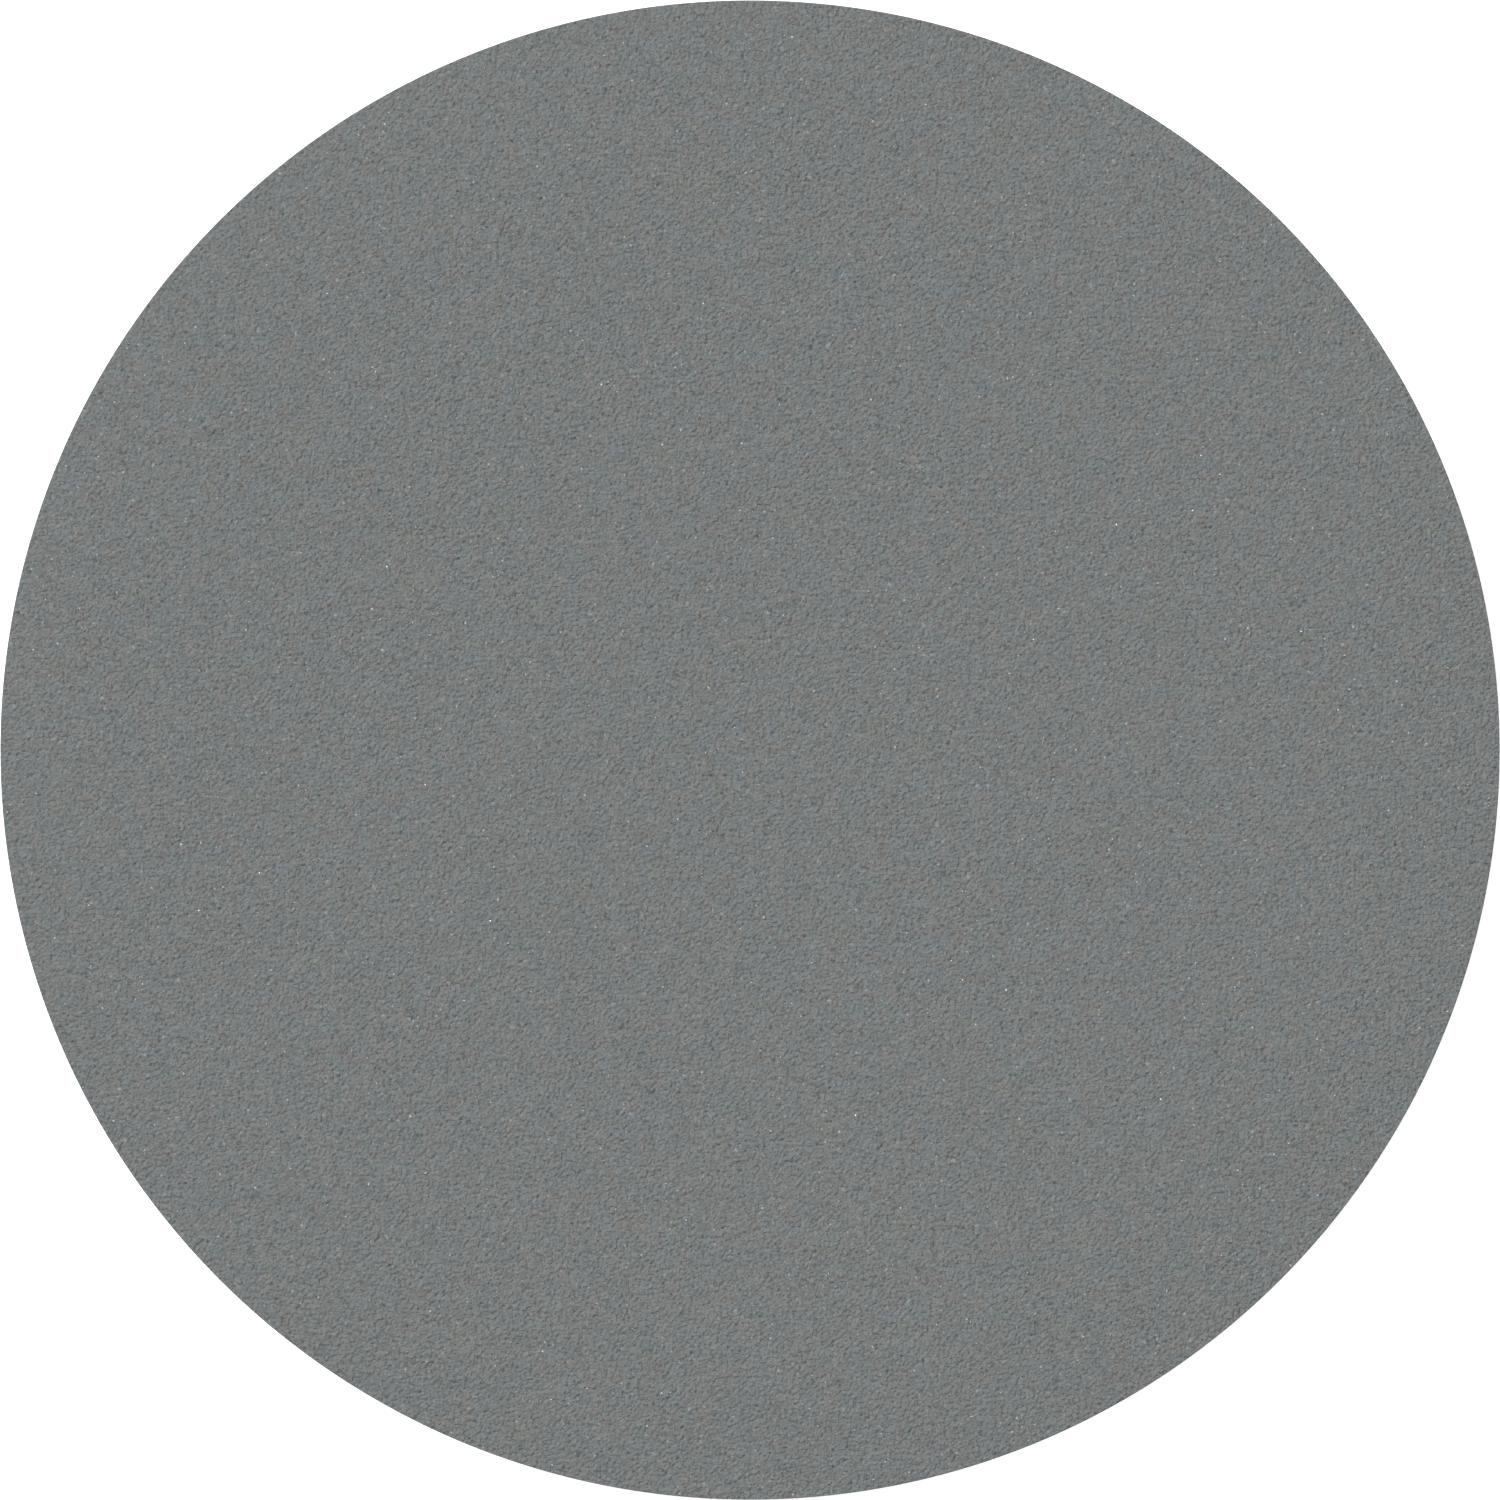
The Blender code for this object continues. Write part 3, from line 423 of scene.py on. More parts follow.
GRIT_GREY = (0.1198, 0.1277, 0.1269, 1.0)
GRIT_COOL = (0.1106, 0.1289, 0.1350, 1.0)
GRIT_WARM = (0.1301, 0.1270, 0.1175, 1.0)
MOTTLE_SCALE = 120.0
COARSE_SCALE = 660.0
FINE_SCALE = 1150.0
SAND_SCALE = 520.0
SAND_RISE = 3.6
COARSE_RISE = 0.5
FINE_RISE = 0.12
GRIT_RELIEF = 0.00070


def make_tread_material():
    """Sand bonded in resin: two sizes of grain over a finer roughness, in a cool and warm mottle."""
    made, tree, shader, place = new_material("bonded_grit", 0.88)
    shader.inputs["Specular IOR Level"].default_value = 0.25
    coarse = use_group(tree, GRAINS, Vector=place, Scale=COARSE_SCALE, Unevenness=0.5)
    fine = use_group(tree, GRAINS, Vector=place, Scale=FINE_SCALE, Unevenness=0.6)
    drift = use_group(
        tree, DRIFT, Vector=place, Scale=MOTTLE_SCALE, Colour=GRIT_GREY, Cool=GRIT_COOL,
        Warm=GRIT_WARM, Amount=0.68,
    )["Colour"]
    tone = number(tree, "MULTIPLY_ADD", coarse["Tone"], 0.24, 0.80)
    tone = number(tree, "MULTIPLY_ADD", fine["Tone"], 0.14, tone)
    # painted shade: about one coarse grain cell in sixteen is darkened to stand for the shade inside a pit
    painted_pit_shade = remap(tree, coarse["Tone"], 0.06, 0.0, 0.0, -0.22)
    # painted highlight: the rarest coarse grain cells are lightened in colour to stand for glints of light off
    # quartz
    painted_glint = remap(tree, coarse["Tone"], 0.994, 1.0, 0.0, 0.4)
    tone = number(tree, "ADD", number(tree, "ADD", tone, painted_pit_shade), painted_glint)
    tree.links.new(shaded(tree, drift, tone), shader.inputs["Base Color"])
    sand = number(tree, "MULTIPLY", noise(tree, place, SAND_SCALE, 1.5, 0.5), SAND_RISE)
    height = number(tree, "MULTIPLY_ADD", fine["Height"], FINE_RISE, sand)
    height = number(tree, "MULTIPLY_ADD", coarse["Height"], COARSE_RISE, height)
    raise_surface(tree, shader, height, GRIT_RELIEF, 1.0)
    return made


def make_grain_material(name, colour, roughness, clear=0.0):
    """One kind of stone in the grit; clear quartz has a thin coat."""
    made, tree, shader, place = new_material(name, roughness)
    shader.inputs["Specular IOR Level"].default_value = 0.4
    shader.inputs["Coat Weight"].default_value = clear
    shade = remap(tree, noise(tree, place, 900.0, 2.0), 0.3, 0.7, 0.85, 1.15)
    tree.links.new(shaded(tree, opaque(colour), shade), shader.inputs["Base Color"])
    return made


LAMINATE_DUST = (0.30, 0.28, 0.24, 1.0)
LAMINATE_RELIEF = 0.00018


def make_laminate_material(name, dark, pale, strand_amount, roughness):
    """Moulded glass-fibre laminate: pigmented resin with strands showing through."""
    made, tree, shader, place = new_material(name, roughness)
    shader.inputs["Specular IOR Level"].default_value = 0.45
    drift = use_group(
        tree, DRIFT, Vector=place, Scale=22.0, Colour=opaque(dark), Cool=opaque(dark, 0.86),
        Warm=opaque(dark, 1.12), Amount=0.8,
    )["Colour"]
    strands = use_group(tree, STRANDS, Vector=place, Bundle_Scale=45.0)["Mask"]
    seen = number(tree, "MULTIPLY", strands, strand_amount)
    colour = blend_colour(tree, seen, drift, opaque(pale))
    worn = use_group(tree, WEAR, Vector=place, Amount=0.5)["Mask"]
    colour = blend_colour(tree, worn, colour, opaque(pale, 1.5))
    dust = use_group(tree, DUST, Vector=place, Amount=0.35, Scale=30.0)["Mask"]
    colour = blend_colour(tree, dust, colour, LAMINATE_DUST)
    tree.links.new(colour, shader.inputs["Base Color"])
    peel = noise(tree, place, 420.0, 3.0, 0.5)
    rough = remap(tree, peel, 0.3, 0.7, roughness - 0.07, roughness + 0.09)
    tree.links.new(rough, shader.inputs["Roughness"])
    height = number(tree, "MULTIPLY_ADD", strands, strand_amount, peel)
    raise_surface(tree, shader, height, LAMINATE_RELIEF, 0.5)
    return made


ZINC_DARK = (0.23, 0.245, 0.26, 1.0)
ZINC_PALE = (0.40, 0.415, 0.43, 1.0)
ZINC_STAIN = (0.36, 0.37, 0.37, 1.0)
ZINC_DUST = (0.28, 0.26, 0.22, 1.0)
ZINC_RELIEF = 0.00015
LARGE_CRYSTALS = 95.0
SMALL_CRYSTALS = 260.0


def make_zinc_material():
    """Hot-dip galvanising: large and small crystals, clouded by dull stain and dust."""
    made, tree, shader, place = new_material("galvanised_steel", 0.45, 0.75)
    crystal = use_group(tree, SPANGLE, Vector=place, Scale=LARGE_CRYSTALS)
    small = use_group(tree, SPANGLE, Vector=place, Scale=SMALL_CRYSTALS)
    tone = number(tree, "MULTIPLY_ADD", small["Tone"], 0.35, crystal["Tone"])
    dull = remap(tree, tone, 0.1, 1.25)
    colour = blend_colour(tree, dull, ZINC_DARK, ZINC_PALE)
    cloud = remap(tree, noise(tree, place, 14.0, 4.0, 0.6), 0.35, 0.7)
    stain = number(tree, "MULTIPLY", cloud, 0.35)
    colour = blend_colour(tree, stain, colour, ZINC_STAIN)
    dust = use_group(tree, DUST, Vector=place, Amount=0.4, Scale=35.0)["Mask"]
    colour = blend_colour(tree, dust, colour, ZINC_DUST)
    tree.links.new(colour, shader.inputs["Base Color"])
    rough = remap(tree, tone, 0.0, 1.35, 0.34, 0.58)
    rough = number(tree, "MULTIPLY_ADD", crystal["Frost"], 0.04, rough)
    rough = number(tree, "MULTIPLY_ADD", dust, 0.3, rough)
    tree.links.new(rough, shader.inputs["Roughness"])
    metal = remap(tree, number(tree, "ADD", stain, dust), 0.0, 0.6, 0.85, 0.35)
    tree.links.new(metal, shader.inputs["Metallic"])
    raise_surface(tree, shader, crystal["Height"], ZINC_RELIEF, 0.5)
    return made


WELD_DARK = (0.26, 0.27, 0.28, 1.0)
WELD_PALE = (0.40, 0.41, 0.41, 1.0)
WELD_RELIEF = 0.0002


def make_weld_material():
    """Galvanising over a weld bead, rougher and patchier than on plate."""
    made, tree, shader, place = new_material("zinc_over_weld", 0.5, 0.7)
    patches = remap(tree, noise(tree, place, 160.0, 4.0, 0.6), 0.3, 0.7)
    colour = blend_colour(tree, patches, WELD_DARK, WELD_PALE)
    tree.links.new(colour, shader.inputs["Base Color"])
    tree.links.new(remap(tree, patches, 0.0, 1.0, 0.62, 0.42), shader.inputs["Roughness"])
    raise_surface(tree, shader, noise(tree, place, 700.0, 3.0, 0.6), WELD_RELIEF, 0.6)
    return made


SCRATCH_RELIEF = 0.00001


def make_turned_material(name, colour, roughness, scratch_scale):
    """Machined or drawn metal, with fine lines and a few rubbed edges."""
    made, tree, shader, place = new_material(name, roughness, 1.0)
    lines = noise(tree, stretched(tree, place, scratch_scale), 1.0, 3.0, 0.6)
    cloud = noise(tree, place, 90.0, 3.0, 0.6)
    shade = remap(tree, cloud, 0.3, 0.7, 0.82, 1.06)
    base = shaded(tree, opaque(colour), shade)
    worn = use_group(tree, WEAR, Vector=place, Amount=0.6)["Mask"]
    base = blend_colour(tree, worn, base, opaque(colour, 1.35))
    tree.links.new(base, shader.inputs["Base Color"])
    rough = remap(tree, lines, 0.3, 0.7, roughness - 0.05, roughness + 0.06)
    tree.links.new(rough, shader.inputs["Roughness"])
    raise_surface(tree, shader, lines, SCRATCH_RELIEF, 0.2)
    return made


RUBBER_DUST = (0.22, 0.20, 0.17, 1.0)


def make_rubber_material(name, colour, pore_scale, pore_depth):
    """Black rubber with a grey bloom, fine pores and dust on what faces up."""
    made, tree, shader, place = new_material(name, 0.75)
    shader.inputs["Specular IOR Level"].default_value = 0.3
    bloom = remap(tree, noise(tree, place, 55.0, 4.0, 0.65), 0.35, 0.75)
    paler = [channel * 2.1 + 0.01 for channel in colour]
    base = blend_colour(tree, bloom, opaque(colour), opaque(paler))
    dust = use_group(tree, DUST, Vector=place, Amount=0.3, Scale=60.0)["Mask"]
    tree.links.new(blend_colour(tree, dust, base, RUBBER_DUST), shader.inputs["Base Color"])
    tree.links.new(remap(tree, bloom, 0.0, 1.0, 0.62, 0.88), shader.inputs["Roughness"])
    pores = cells(tree, place, pore_scale)
    height = remap(tree, pores.outputs["Distance"], 0.0, 0.35)
    raise_surface(tree, shader, height, pore_depth, 0.6)
    return made


TREAD = make_tread_material()
GRAIN_LOOKS = [
    make_grain_material("grain_mid", (0.122, 0.130, 0.129), 0.8),
    make_grain_material("grain_dark", (0.078, 0.083, 0.084), 0.8),
    make_grain_material("grain_brown", (0.130, 0.119, 0.101), 0.8),
    make_grain_material("grain_pale", (0.190, 0.196, 0.192), 0.65),
    make_grain_material("grain_quartz", (0.300, 0.306, 0.300), 0.45, 0.25),
]
GRAIN_SHARES = (0.51, 0.21, 0.10, 0.14, 0.04)
GELCOAT = make_laminate_material(
    "pan_gelcoat", dark=(0.085, 0.090, 0.092), pale=(0.13, 0.135, 0.13),
    strand_amount=0.15, roughness=0.42,
)
LAMINATE = make_laminate_material(
    "rib_laminate", dark=(0.105, 0.112, 0.108), pale=(0.20, 0.205, 0.185),
    strand_amount=0.55, roughness=0.5,
)
PUTTY = make_laminate_material(
    "bonding_paste", dark=(0.16, 0.165, 0.155), pale=(0.22, 0.22, 0.20),
    strand_amount=0.1, roughness=0.6,
)
ZINC = make_zinc_material()
WELD = make_weld_material()
STAINLESS = make_turned_material(
    "stainless_steel", colour=(0.43, 0.43, 0.42), roughness=0.28, scratch_scale=(30.0, 420.0, 420.0)
)
PLATED = make_turned_material(
    "plated_bolt", colour=(0.46, 0.46, 0.42), roughness=0.34, scratch_scale=(300.0, 300.0, 1200.0)
)
BRASS = make_turned_material(
    "plug_brass", colour=(0.52, 0.38, 0.16), roughness=0.30, scratch_scale=(900.0, 60.0, 900.0)
)
SEAL_RUBBER = make_rubber_material(
    "seal_rubber", colour=(0.016, 0.016, 0.017), pore_scale=1400.0, pore_depth=0.00005
)
PAD_RUBBER = make_rubber_material(
    "pad_rubber", colour=(0.022, 0.022, 0.023), pore_scale=800.0, pore_depth=0.00015
)


# ---------------------------------------------------------------- mesh helpers


def keep(name, bm, looks, body, stands_for=()):
    """Makes the bmesh a piece that rides on a body."""
    mesh = bpy.data.meshes.new(name)
    bm.to_mesh(mesh)
    bm.free()
    obj = bpy.data.objects.new(name, mesh)
    bpy.context.scene.collection.objects.link(obj)
    for look in looks:
        mesh.materials.append(look)
    mesh.shade_smooth()
    mesh.set_sharp_from_angle(angle=SHARP_ANGLE)
    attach(obj, body)
    if stands_for:
        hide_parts(*stands_for)
    return obj


def round_edges(obj, width, segments=2, angle=32.0):
    """Rounds the edges that turn by more than this angle in degrees."""
    edge = obj.modifiers.new("round_edges", "BEVEL")
    edge.width = width
    edge.segments = segments
    edge.limit_method = "ANGLE"
    edge.angle_limit = math.radians(angle)
    edge.harden_normals = True
    edge.use_clamp_overlap = True


def finished_node(node, look, edge=0.0, segments=2):
    """The CAD node as one joined skin with rounded edges."""
    bm = bmesh.new()
    bm.from_mesh(frame["nodes"][node].data)
    bmesh.ops.remove_doubles(bm, verts=bm.verts, dist=MERGE)
    bmesh.ops.dissolve_limit(bm, angle_limit=FLAT_ANGLE, verts=bm.verts, edges=bm.edges)
    obj = keep(f"{node}_finish", bm, [look], BODY_OF[node], [node])
    if edge:
        round_edges(obj, edge, segments)
    return obj


def close_up(bm):
    """Joins the skin's doubles and turns its faces outwards."""
    bmesh.ops.remove_doubles(bm, verts=bm.verts, dist=MERGE)
    bmesh.ops.recalc_face_normals(bm, faces=bm.faces)
    return bm


def spun(profile, steps, closed=True):
    """A profile of (radius, height) points turned once about the Z axis."""
    bm = bmesh.new()
    points = [bm.verts.new((r, 0.0, z)) for r, z in profile]
    pairs = list(zip(points, points[1:]))
    if closed:
        pairs.append((points[-1], points[0]))
    edges = [bm.edges.new(pair) for pair in pairs]
    bmesh.ops.spin(
        bm, geom=points + edges, axis=(0, 0, 1), cent=(0, 0, 0), steps=steps,
        angle=FULL_TURN, use_merge=True,
    )
    return close_up(bm)


def arc(centre, radius, first, last, steps):
    """Points of an arc from the first angle to the last, in degrees."""
    for i in range(steps + 1):
        angle = math.radians(first + (last - first) * i / steps)
        yield centre[0] + radius * math.cos(angle), centre[1] + radius * math.sin(angle)


def bar_mesh(path, radii, sides, ring=False):
    """A round bar along the path, its thickness set at each point, as a bmesh with welded caps."""
    data = bpy.data.curves.new("bar", "CURVE")
    data.dimensions = "3D"
    data.bevel_depth = 1.0
    data.bevel_resolution = max(0, sides // 4 - 1)
    data.use_fill_caps = not ring
    line = data.splines.new("POLY")
    line.use_cyclic_u = ring
    line.points.add(len(path) - 1)
    for point, spot, radius in zip(line.points, path, radii):
        point.co = (*spot, 1.0)
        point.radius = radius
    holder = bpy.data.objects.new("bar", data)
    bpy.context.scene.collection.objects.link(holder)
    graph = bpy.context.evaluated_depsgraph_get()
    made = bpy.data.meshes.new_from_object(holder.evaluated_get(graph))
    bm = bmesh.new()
    bm.from_mesh(made)
    bpy.data.objects.remove(holder, do_unlink=True)
    bpy.data.meshes.remove(made)
    bpy.data.curves.remove(data)
    return close_up(bm)


def turned_about_z(angle):
    return Matrix.Rotation(angle, 4, "Z")


def on_circle(radius, angle, height):
    """The point at this angle, in radians, round the lid's middle."""
    return radius * math.cos(angle), radius * math.sin(angle), height


def circle_path(radius, height, count):
    return [on_circle(radius, FULL_TURN * i / count, height) for i in range(count)]


def walked(outline, step):
    """Points about one step apart round a closed outline."""
    for start, end in zip(outline, outline[1:] + outline[:1]):
        steps = max(2, round(math.dist(start, end) / step))
        for i in range(steps):
            yield [a + (b - a) * (i / steps) for a, b in zip(start, end)]


# ---------------------------------------------------------------- the gritted top


def build_tread():
    """The resin bed: a flat disc with a small rolled edge."""
    profile = [(0.0, RESIN_TOP)]
    profile += [(TREAD_RADIUS * share, RESIN_TOP) for share in (0.25, 0.5, 0.75)]
    top_edge = (TREAD_RADIUS - BED_TOP_EDGE, RESIN_TOP - BED_TOP_EDGE)
    profile += list(arc(top_edge, BED_TOP_EDGE, 90, 0, 5))
    foot_edge = (TREAD_RADIUS - BED_FOOT_EDGE, TREAD_LOW.z + BED_FOOT_EDGE)
    profile += list(arc(foot_edge, BED_FOOT_EDGE, 0, -90, 3))
    profile += [(0.0, TREAD_LOW.z)]
    bm = spun(profile, 360, closed=False)
    keep("tread_bed", bm, [TREAD], "lid", ["grit_top"])


def grain_shapes(rng):
    """A few broken-stone shapes of unit size, each with a couple of dozen faces at most."""
    shapes = []
    for sides in (4, 5, 5, 6, 6):
        bm = bmesh.new()
        bmesh.ops.create_cone(
            bm, cap_ends=True, segments=sides, radius1=1.0, radius2=0.55, depth=1.0,
        )
        for vert in bm.verts:
            vert.co += Vector(rng.uniform(-0.22, 0.22) for _ in range(3))
        bmesh.ops.recalc_face_normals(bm, faces=bm.faces)
        mesh = bpy.data.meshes.new("grain")
        bm.to_mesh(mesh)
        bm.free()
        shapes.append(mesh)
    return shapes


def random_turn(rng, lean):
    """Any turn about Z after a lean of up to this angle, in radians, about X and Y."""
    tilt_x = Matrix.Rotation(rng.uniform(-lean, lean), 4, "X")
    tilt_y = Matrix.Rotation(rng.uniform(-lean, lean), 4, "Y")
    return turned_about_z(rng.uniform(0, FULL_TURN)) @ (tilt_x @ tilt_y)


def add_grain(bm, rng, shapes, place, lean, grow):
    """Sets one broken stone at this place, of any shape and look, and leaning at random."""
    look = rng.choices(range(len(GRAIN_LOOKS)), GRAIN_SHARES)[0]
    grain = rng.choice(shapes).copy()
    grain.transform(place @ random_turn(rng, lean) @ grow)
    grain.polygons.foreach_set("material_index", [look] * len(grain.polygons))
    bm.from_mesh(grain)
    bpy.data.meshes.remove(grain)


def add_top_grain(bm, rng, shapes, sector):
    """A grain lying in the flat of the bed, anywhere in this sector."""
    size = rng.uniform(*GRAIN_SIZE)
    reach = (TREAD_RADIUS - GRAIN_MARGIN) * math.sqrt(rng.random())
    angle = FULL_TURN * (sector + rng.random()) / SECTORS
    breadth = size * rng.uniform(*GRAIN_BREADTH)
    depth = size * rng.uniform(*GRAIN_DEPTH)
    spot = Matrix.Translation(on_circle(reach, angle, RESIN_TOP))
    add_grain(bm, rng, shapes, spot, GRAIN_LEAN, Matrix.Diagonal((size, breadth, depth, 1.0)))


def add_rim_grain(bm, rng, shapes, sector):
    """A smaller grain on the bed's upright edge, lying against it."""
    size = rng.uniform(*RIM_GRAIN_SIZE)
    angle = FULL_TURN * (sector + rng.random()) / SECTORS
    height = rng.uniform(TREAD_LOW.z + RIM_MARGIN, RESIN_TOP - RIM_MARGIN)
    spot = Matrix.Translation(on_circle(TREAD_RADIUS - RIM_GRAIN_SINK, angle, height))
    outwards = turned_about_z(angle) @ Matrix.Rotation(math.pi / 2, 4, "Y")
    grow = Matrix.Diagonal((size, size, size * RIM_GRAIN_DEPTH, 1.0))
    add_grain(bm, rng, shapes, spot @ outwards, RIM_GRAIN_LEAN, grow)


def build_grains():
    """The grit itself: broken stones over the whole face and round its rim."""
    rng = random.Random(7)
    shapes = grain_shapes(rng)
    for sector in range(SECTORS):
        bm = bmesh.new()
        for _ in range(GRAIN_COUNT // SECTORS):
            add_top_grain(bm, rng, shapes, sector)
        for _ in range(RIM_GRAIN_COUNT // SECTORS):
            add_rim_grain(bm, rng, shapes, sector)
        keep(f"grit_grains_{sector + 1}", bm, GRAIN_LOOKS, "lid")
    for shape in shapes:
        bpy.data.meshes.remove(shape)


# ---------------------------------------------------------------- the lid


def finish_all(look, edges):
    """Finishes several nodes alike; edges gives each node's rounding in metres."""
    for node, edge in edges.items():
        finished_node(node, look, edge)


def build_pan():
    """The moulded pan, with the fine ridges of the mould's parting round its skirt."""
    finished_node("lid_pan", GELCOAT, 0.0009)
    for rise in SKIRT_LINES:
        z = SKIRT_BOTTOM + rise
        ring = [
            (SKIRT_OUTER + radius, z + height)
            for radius, height in arc((0.0, 0.0), SKIRT_LINE_RADIUS, 0, 315, 7)
        ]
        keep(f"skirt_line_{round(z * 1000)}", spun(ring, 192), [GELCOAT], "lid")


def build_seal():
    """A rubber section with a wide foot and two lips that rest on the collar's rim."""
    foot, tip = SEAL_HIGH.z, SEAL_LOW.z
    middle = SEAL_HIGH.x - SEAL_WIDTH / 2
    half = [
        (SEAL_WIDTH / 2, foot),
        (SEAL_WIDTH / 2, foot - 0.0014),
        (0.0048, foot - 0.0024),
        (0.0058, tip),
        (0.0036, tip + 0.0002),
        (0.0020, tip + 0.0018),
    ]
    profile = [(middle + out, z) for out, z in half]
    profile += [(middle, tip + 0.0022)]
    profile += [(middle - out, z) for out, z in reversed(half)]
    obj = keep(
        "seal_profile", spun(profile, 240), [SEAL_RUBBER], "lid", ["lid_seal"]
    )
    round_edges(obj, 0.0004)


def lay_paste(name, path, thickness, swell, rng):
    """A ring of bonding paste, squeezed out unevenly along the path."""
    radii = [thickness + rng.uniform(*swell) for _ in path]
    keep(name, bar_mesh(path, radii, 8, ring=True), [PUTTY], "lid")


def build_ribs():
    """The hub and ribs, each bonded to the pan by a fillet of paste round its foot."""
    finished_node("rib_hub", LAMINATE, 0.0015, 3)
    for i in range(1, 9):
        finished_node(f"rib_{i}", LAMINATE, 0.0012)
    rng = random.Random(21)
    hub = circle_path(HUB_RADIUS + 0.0004, PAN_UNDER - 0.0004, 120)
    lay_paste("hub_paste", hub, HUB_PASTE, HUB_PASTE_SWELL, rng)
    inner, outer, side = RIB_LOW.x + 0.0005, RIB_HIGH.x + 0.0002, RIB_HIGH.y + 0.0003
    outline = [(inner, -side), (outer, -side), (outer, side), (inner, side)]
    for i in range(8):
        turn = turned_about_z(FULL_TURN * i / 8)
        path = [turn @ Vector((x, y, PAN_UNDER - 0.0006)) for x, y in walked(outline, PASTE_STEP)]
        lay_paste(f"rib_paste_{i + 1}", path, RIB_PASTE, RIB_PASTE_SWELL, rng)


def hex_bolt(x, y, low, high, reach):
    """A hexagon head with a chamfered face and a washer ring at its seat."""
    bm = bmesh.new()
    bmesh.ops.create_cone(
        bm, cap_ends=True, segments=6, radius1=reach, radius2=reach, depth=high - low,
        matrix=Matrix.Translation((x, y, (low + high) / 2)),
    )
    rim = [
        edge
        for edge in bm.edges
        if all(abs(vert.co.z - low) < MERGE for vert in edge.verts)
    ]
    bmesh.ops.bevel(
        bm, geom=rim, offset=BOLT_CHAMFER, offset_type="OFFSET", segments=2, profile=0.5,
        affect="EDGES", material=-1,
    )
    bmesh.ops.create_cone(
        bm, cap_ends=True, segments=32, radius1=reach * 0.98, radius2=reach * 0.98,
        depth=BOLT_WASHER, matrix=Matrix.Translation((x, y, high + 0.0001)),
    )
    return bm


def build_hinges():
    """Leaves, lugs, pins, washers and split pins of both hinges, and the leaves' bolts."""
    for word in ("left", "right"):
        finish_all(ZINC, {
            f"hinge_leaf_{word}": 0.0007,
            f"hinge_lug_{word}": 0.0007,
        })
        finish_all(STAINLESS, {
            f"hinge_pin_{word}": 0.0003,
            f"hinge_washer_{word}": 0.0003,
            f"split_pin_{word}": 0.0,
        })
    for i in range(1, 5):
        low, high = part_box(f"leaf_bolt_{i}")
        x, y = (low.x + high.x) / 2, (low.y + high.y) / 2
        bm = hex_bolt(x, y, low.z, low.z + BOLT_HEAD, (high.y - low.y) / 2)
        keep(f"leaf_bolt_{i}_head", bm, [PLATED], "lid", [f"leaf_bolt_{i}"])


def build_lock():
    """The side lock's housing, nut, plug, tongue and screw, and the keeper on the collar."""
    finished_node("lock_housing", STAINLESS, 0.0003)
    finished_node("lock_nut", PLATED, 0.0005)
    finished_node("lock_plug", BRASS, 0.0002)
    finished_node("lock_cam", ZINC, 0.0005)
    finished_node("cam_screw", PLATED, 0.0003)
    finished_node("lock_keeper", ZINC, 0.0008)


def rounded_path(points, radius, steps):
    """Straight runs through the points, with each corner an arc of this radius."""
    path = [Vector(points[0])]
    for before, corner, after in zip(points, points[1:], points[2:]):
        corner = Vector(corner)
        back = (Vector(before) - corner).normalized()
        ahead = (Vector(after) - corner).normalized()
        half = back.angle(ahead) / 2
        cut = radius / math.tan(half)
        centre = corner + (back + ahead).normalized() * (radius / math.sin(half))
        start = corner + back * cut - centre
        end = corner + ahead * cut - centre
        for i in range(steps + 1):
            path.append(centre + start.slerp(end, i / steps).normalized() * radius)
    path.append(Vector(points[-1]))
    return path


def build_handle(word, side):
    """A bent bar that hangs from its bracket, square to the rim on its side of the lock."""
    pivot = Vector(JOINT[f"handle_{word}_swing"]["pos_m"])
    place = Matrix.Translation(pivot) @ turned_about_z(side * HANDLE_ANGLE)
    corners = [
        (-HANDLE_REACH, 0, 0),
        (-HANDLE_HALF, 0, 0),
        (-HANDLE_HALF, 0, -HANDLE_DROP),
        (HANDLE_HALF, 0, -HANDLE_DROP),
        (HANDLE_HALF, 0, 0),
        (HANDLE_REACH, 0, 0),
    ]
    path = [place @ spot for spot in rounded_path(corners, HANDLE_BEND, 8)]
    bm = bar_mesh(path, [HANDLE_BAR] * len(path), 24)
    node = f"handle_{word}"
    obj = keep(f"{node}_bar", bm, [STAINLESS], node, [node])
    round_edges(obj, 0.0005, angle=60.0)
    finished_node(f"handle_bracket_{word}", ZINC, 0.0006)


# ---------------------------------------------------------------- the frame


def bead_radii(count, size, rng):
    """Ripples of a weld bead: one swelling every other point."""
    return [size * (1.08 if i % 2 else 0.90) + rng.uniform(-0.06, 0.06) * size for i in range(count)]


def weld_ring(name, radius, height, size):
    """A rippled bead that runs once round the collar."""
    rng = random.Random(len(name))
    count = round(FULL_TURN * radius / RIPPLE / 2) * 2
    path = circle_path(radius, height, count)
    bm = bar_mesh(path, bead_radii(count, size, rng), 8, ring=True)
    keep(name, bm, [WELD], "frame")


def weld_line(name, start, end, size):
    """A rippled bead along a straight joint."""
    rng = random.Random(sum(map(ord, name)))
    start, end = Vector(start), Vector(end)
    count = max(4, round((end - start).length / RIPPLE))
    path = [start.lerp(end, i / (count - 1)) for i in range(count)]
    bm = bar_mesh(path, bead_radii(count, size, rng), 8)
    keep(name, bm, [WELD], "frame")


def weld_gusset(order, angle):
    """Beads along both faces of a gusset, at the flange and up the collar."""
    turn = turned_about_z(math.radians(angle))
    for hand, word in ((-1, "a"), (1, "b")):
        y = hand * (GUSSET_HIGH.y + BESIDE_PLATE)
        weld_line(
            f"gusset_{order}_foot_{word}",
            turn @ Vector((COLLAR_OUTER + 0.0075, y, FLANGE_TOP + BESIDE_PLATE)),
            turn @ Vector((GUSSET_HIGH.x - 0.0015, y, FLANGE_TOP + BESIDE_PLATE)),
            GUSSET_BEAD,
        )
        weld_line(
            f"gusset_{order}_wall_{word}",
            turn @ Vector((WELD_OUTSIDE, y, FLANGE_TOP + 0.0077)),
            turn @ Vector((WELD_OUTSIDE, y, GUSSET_HIGH.z - 0.0010)),
            GUSSET_BEAD,
        )


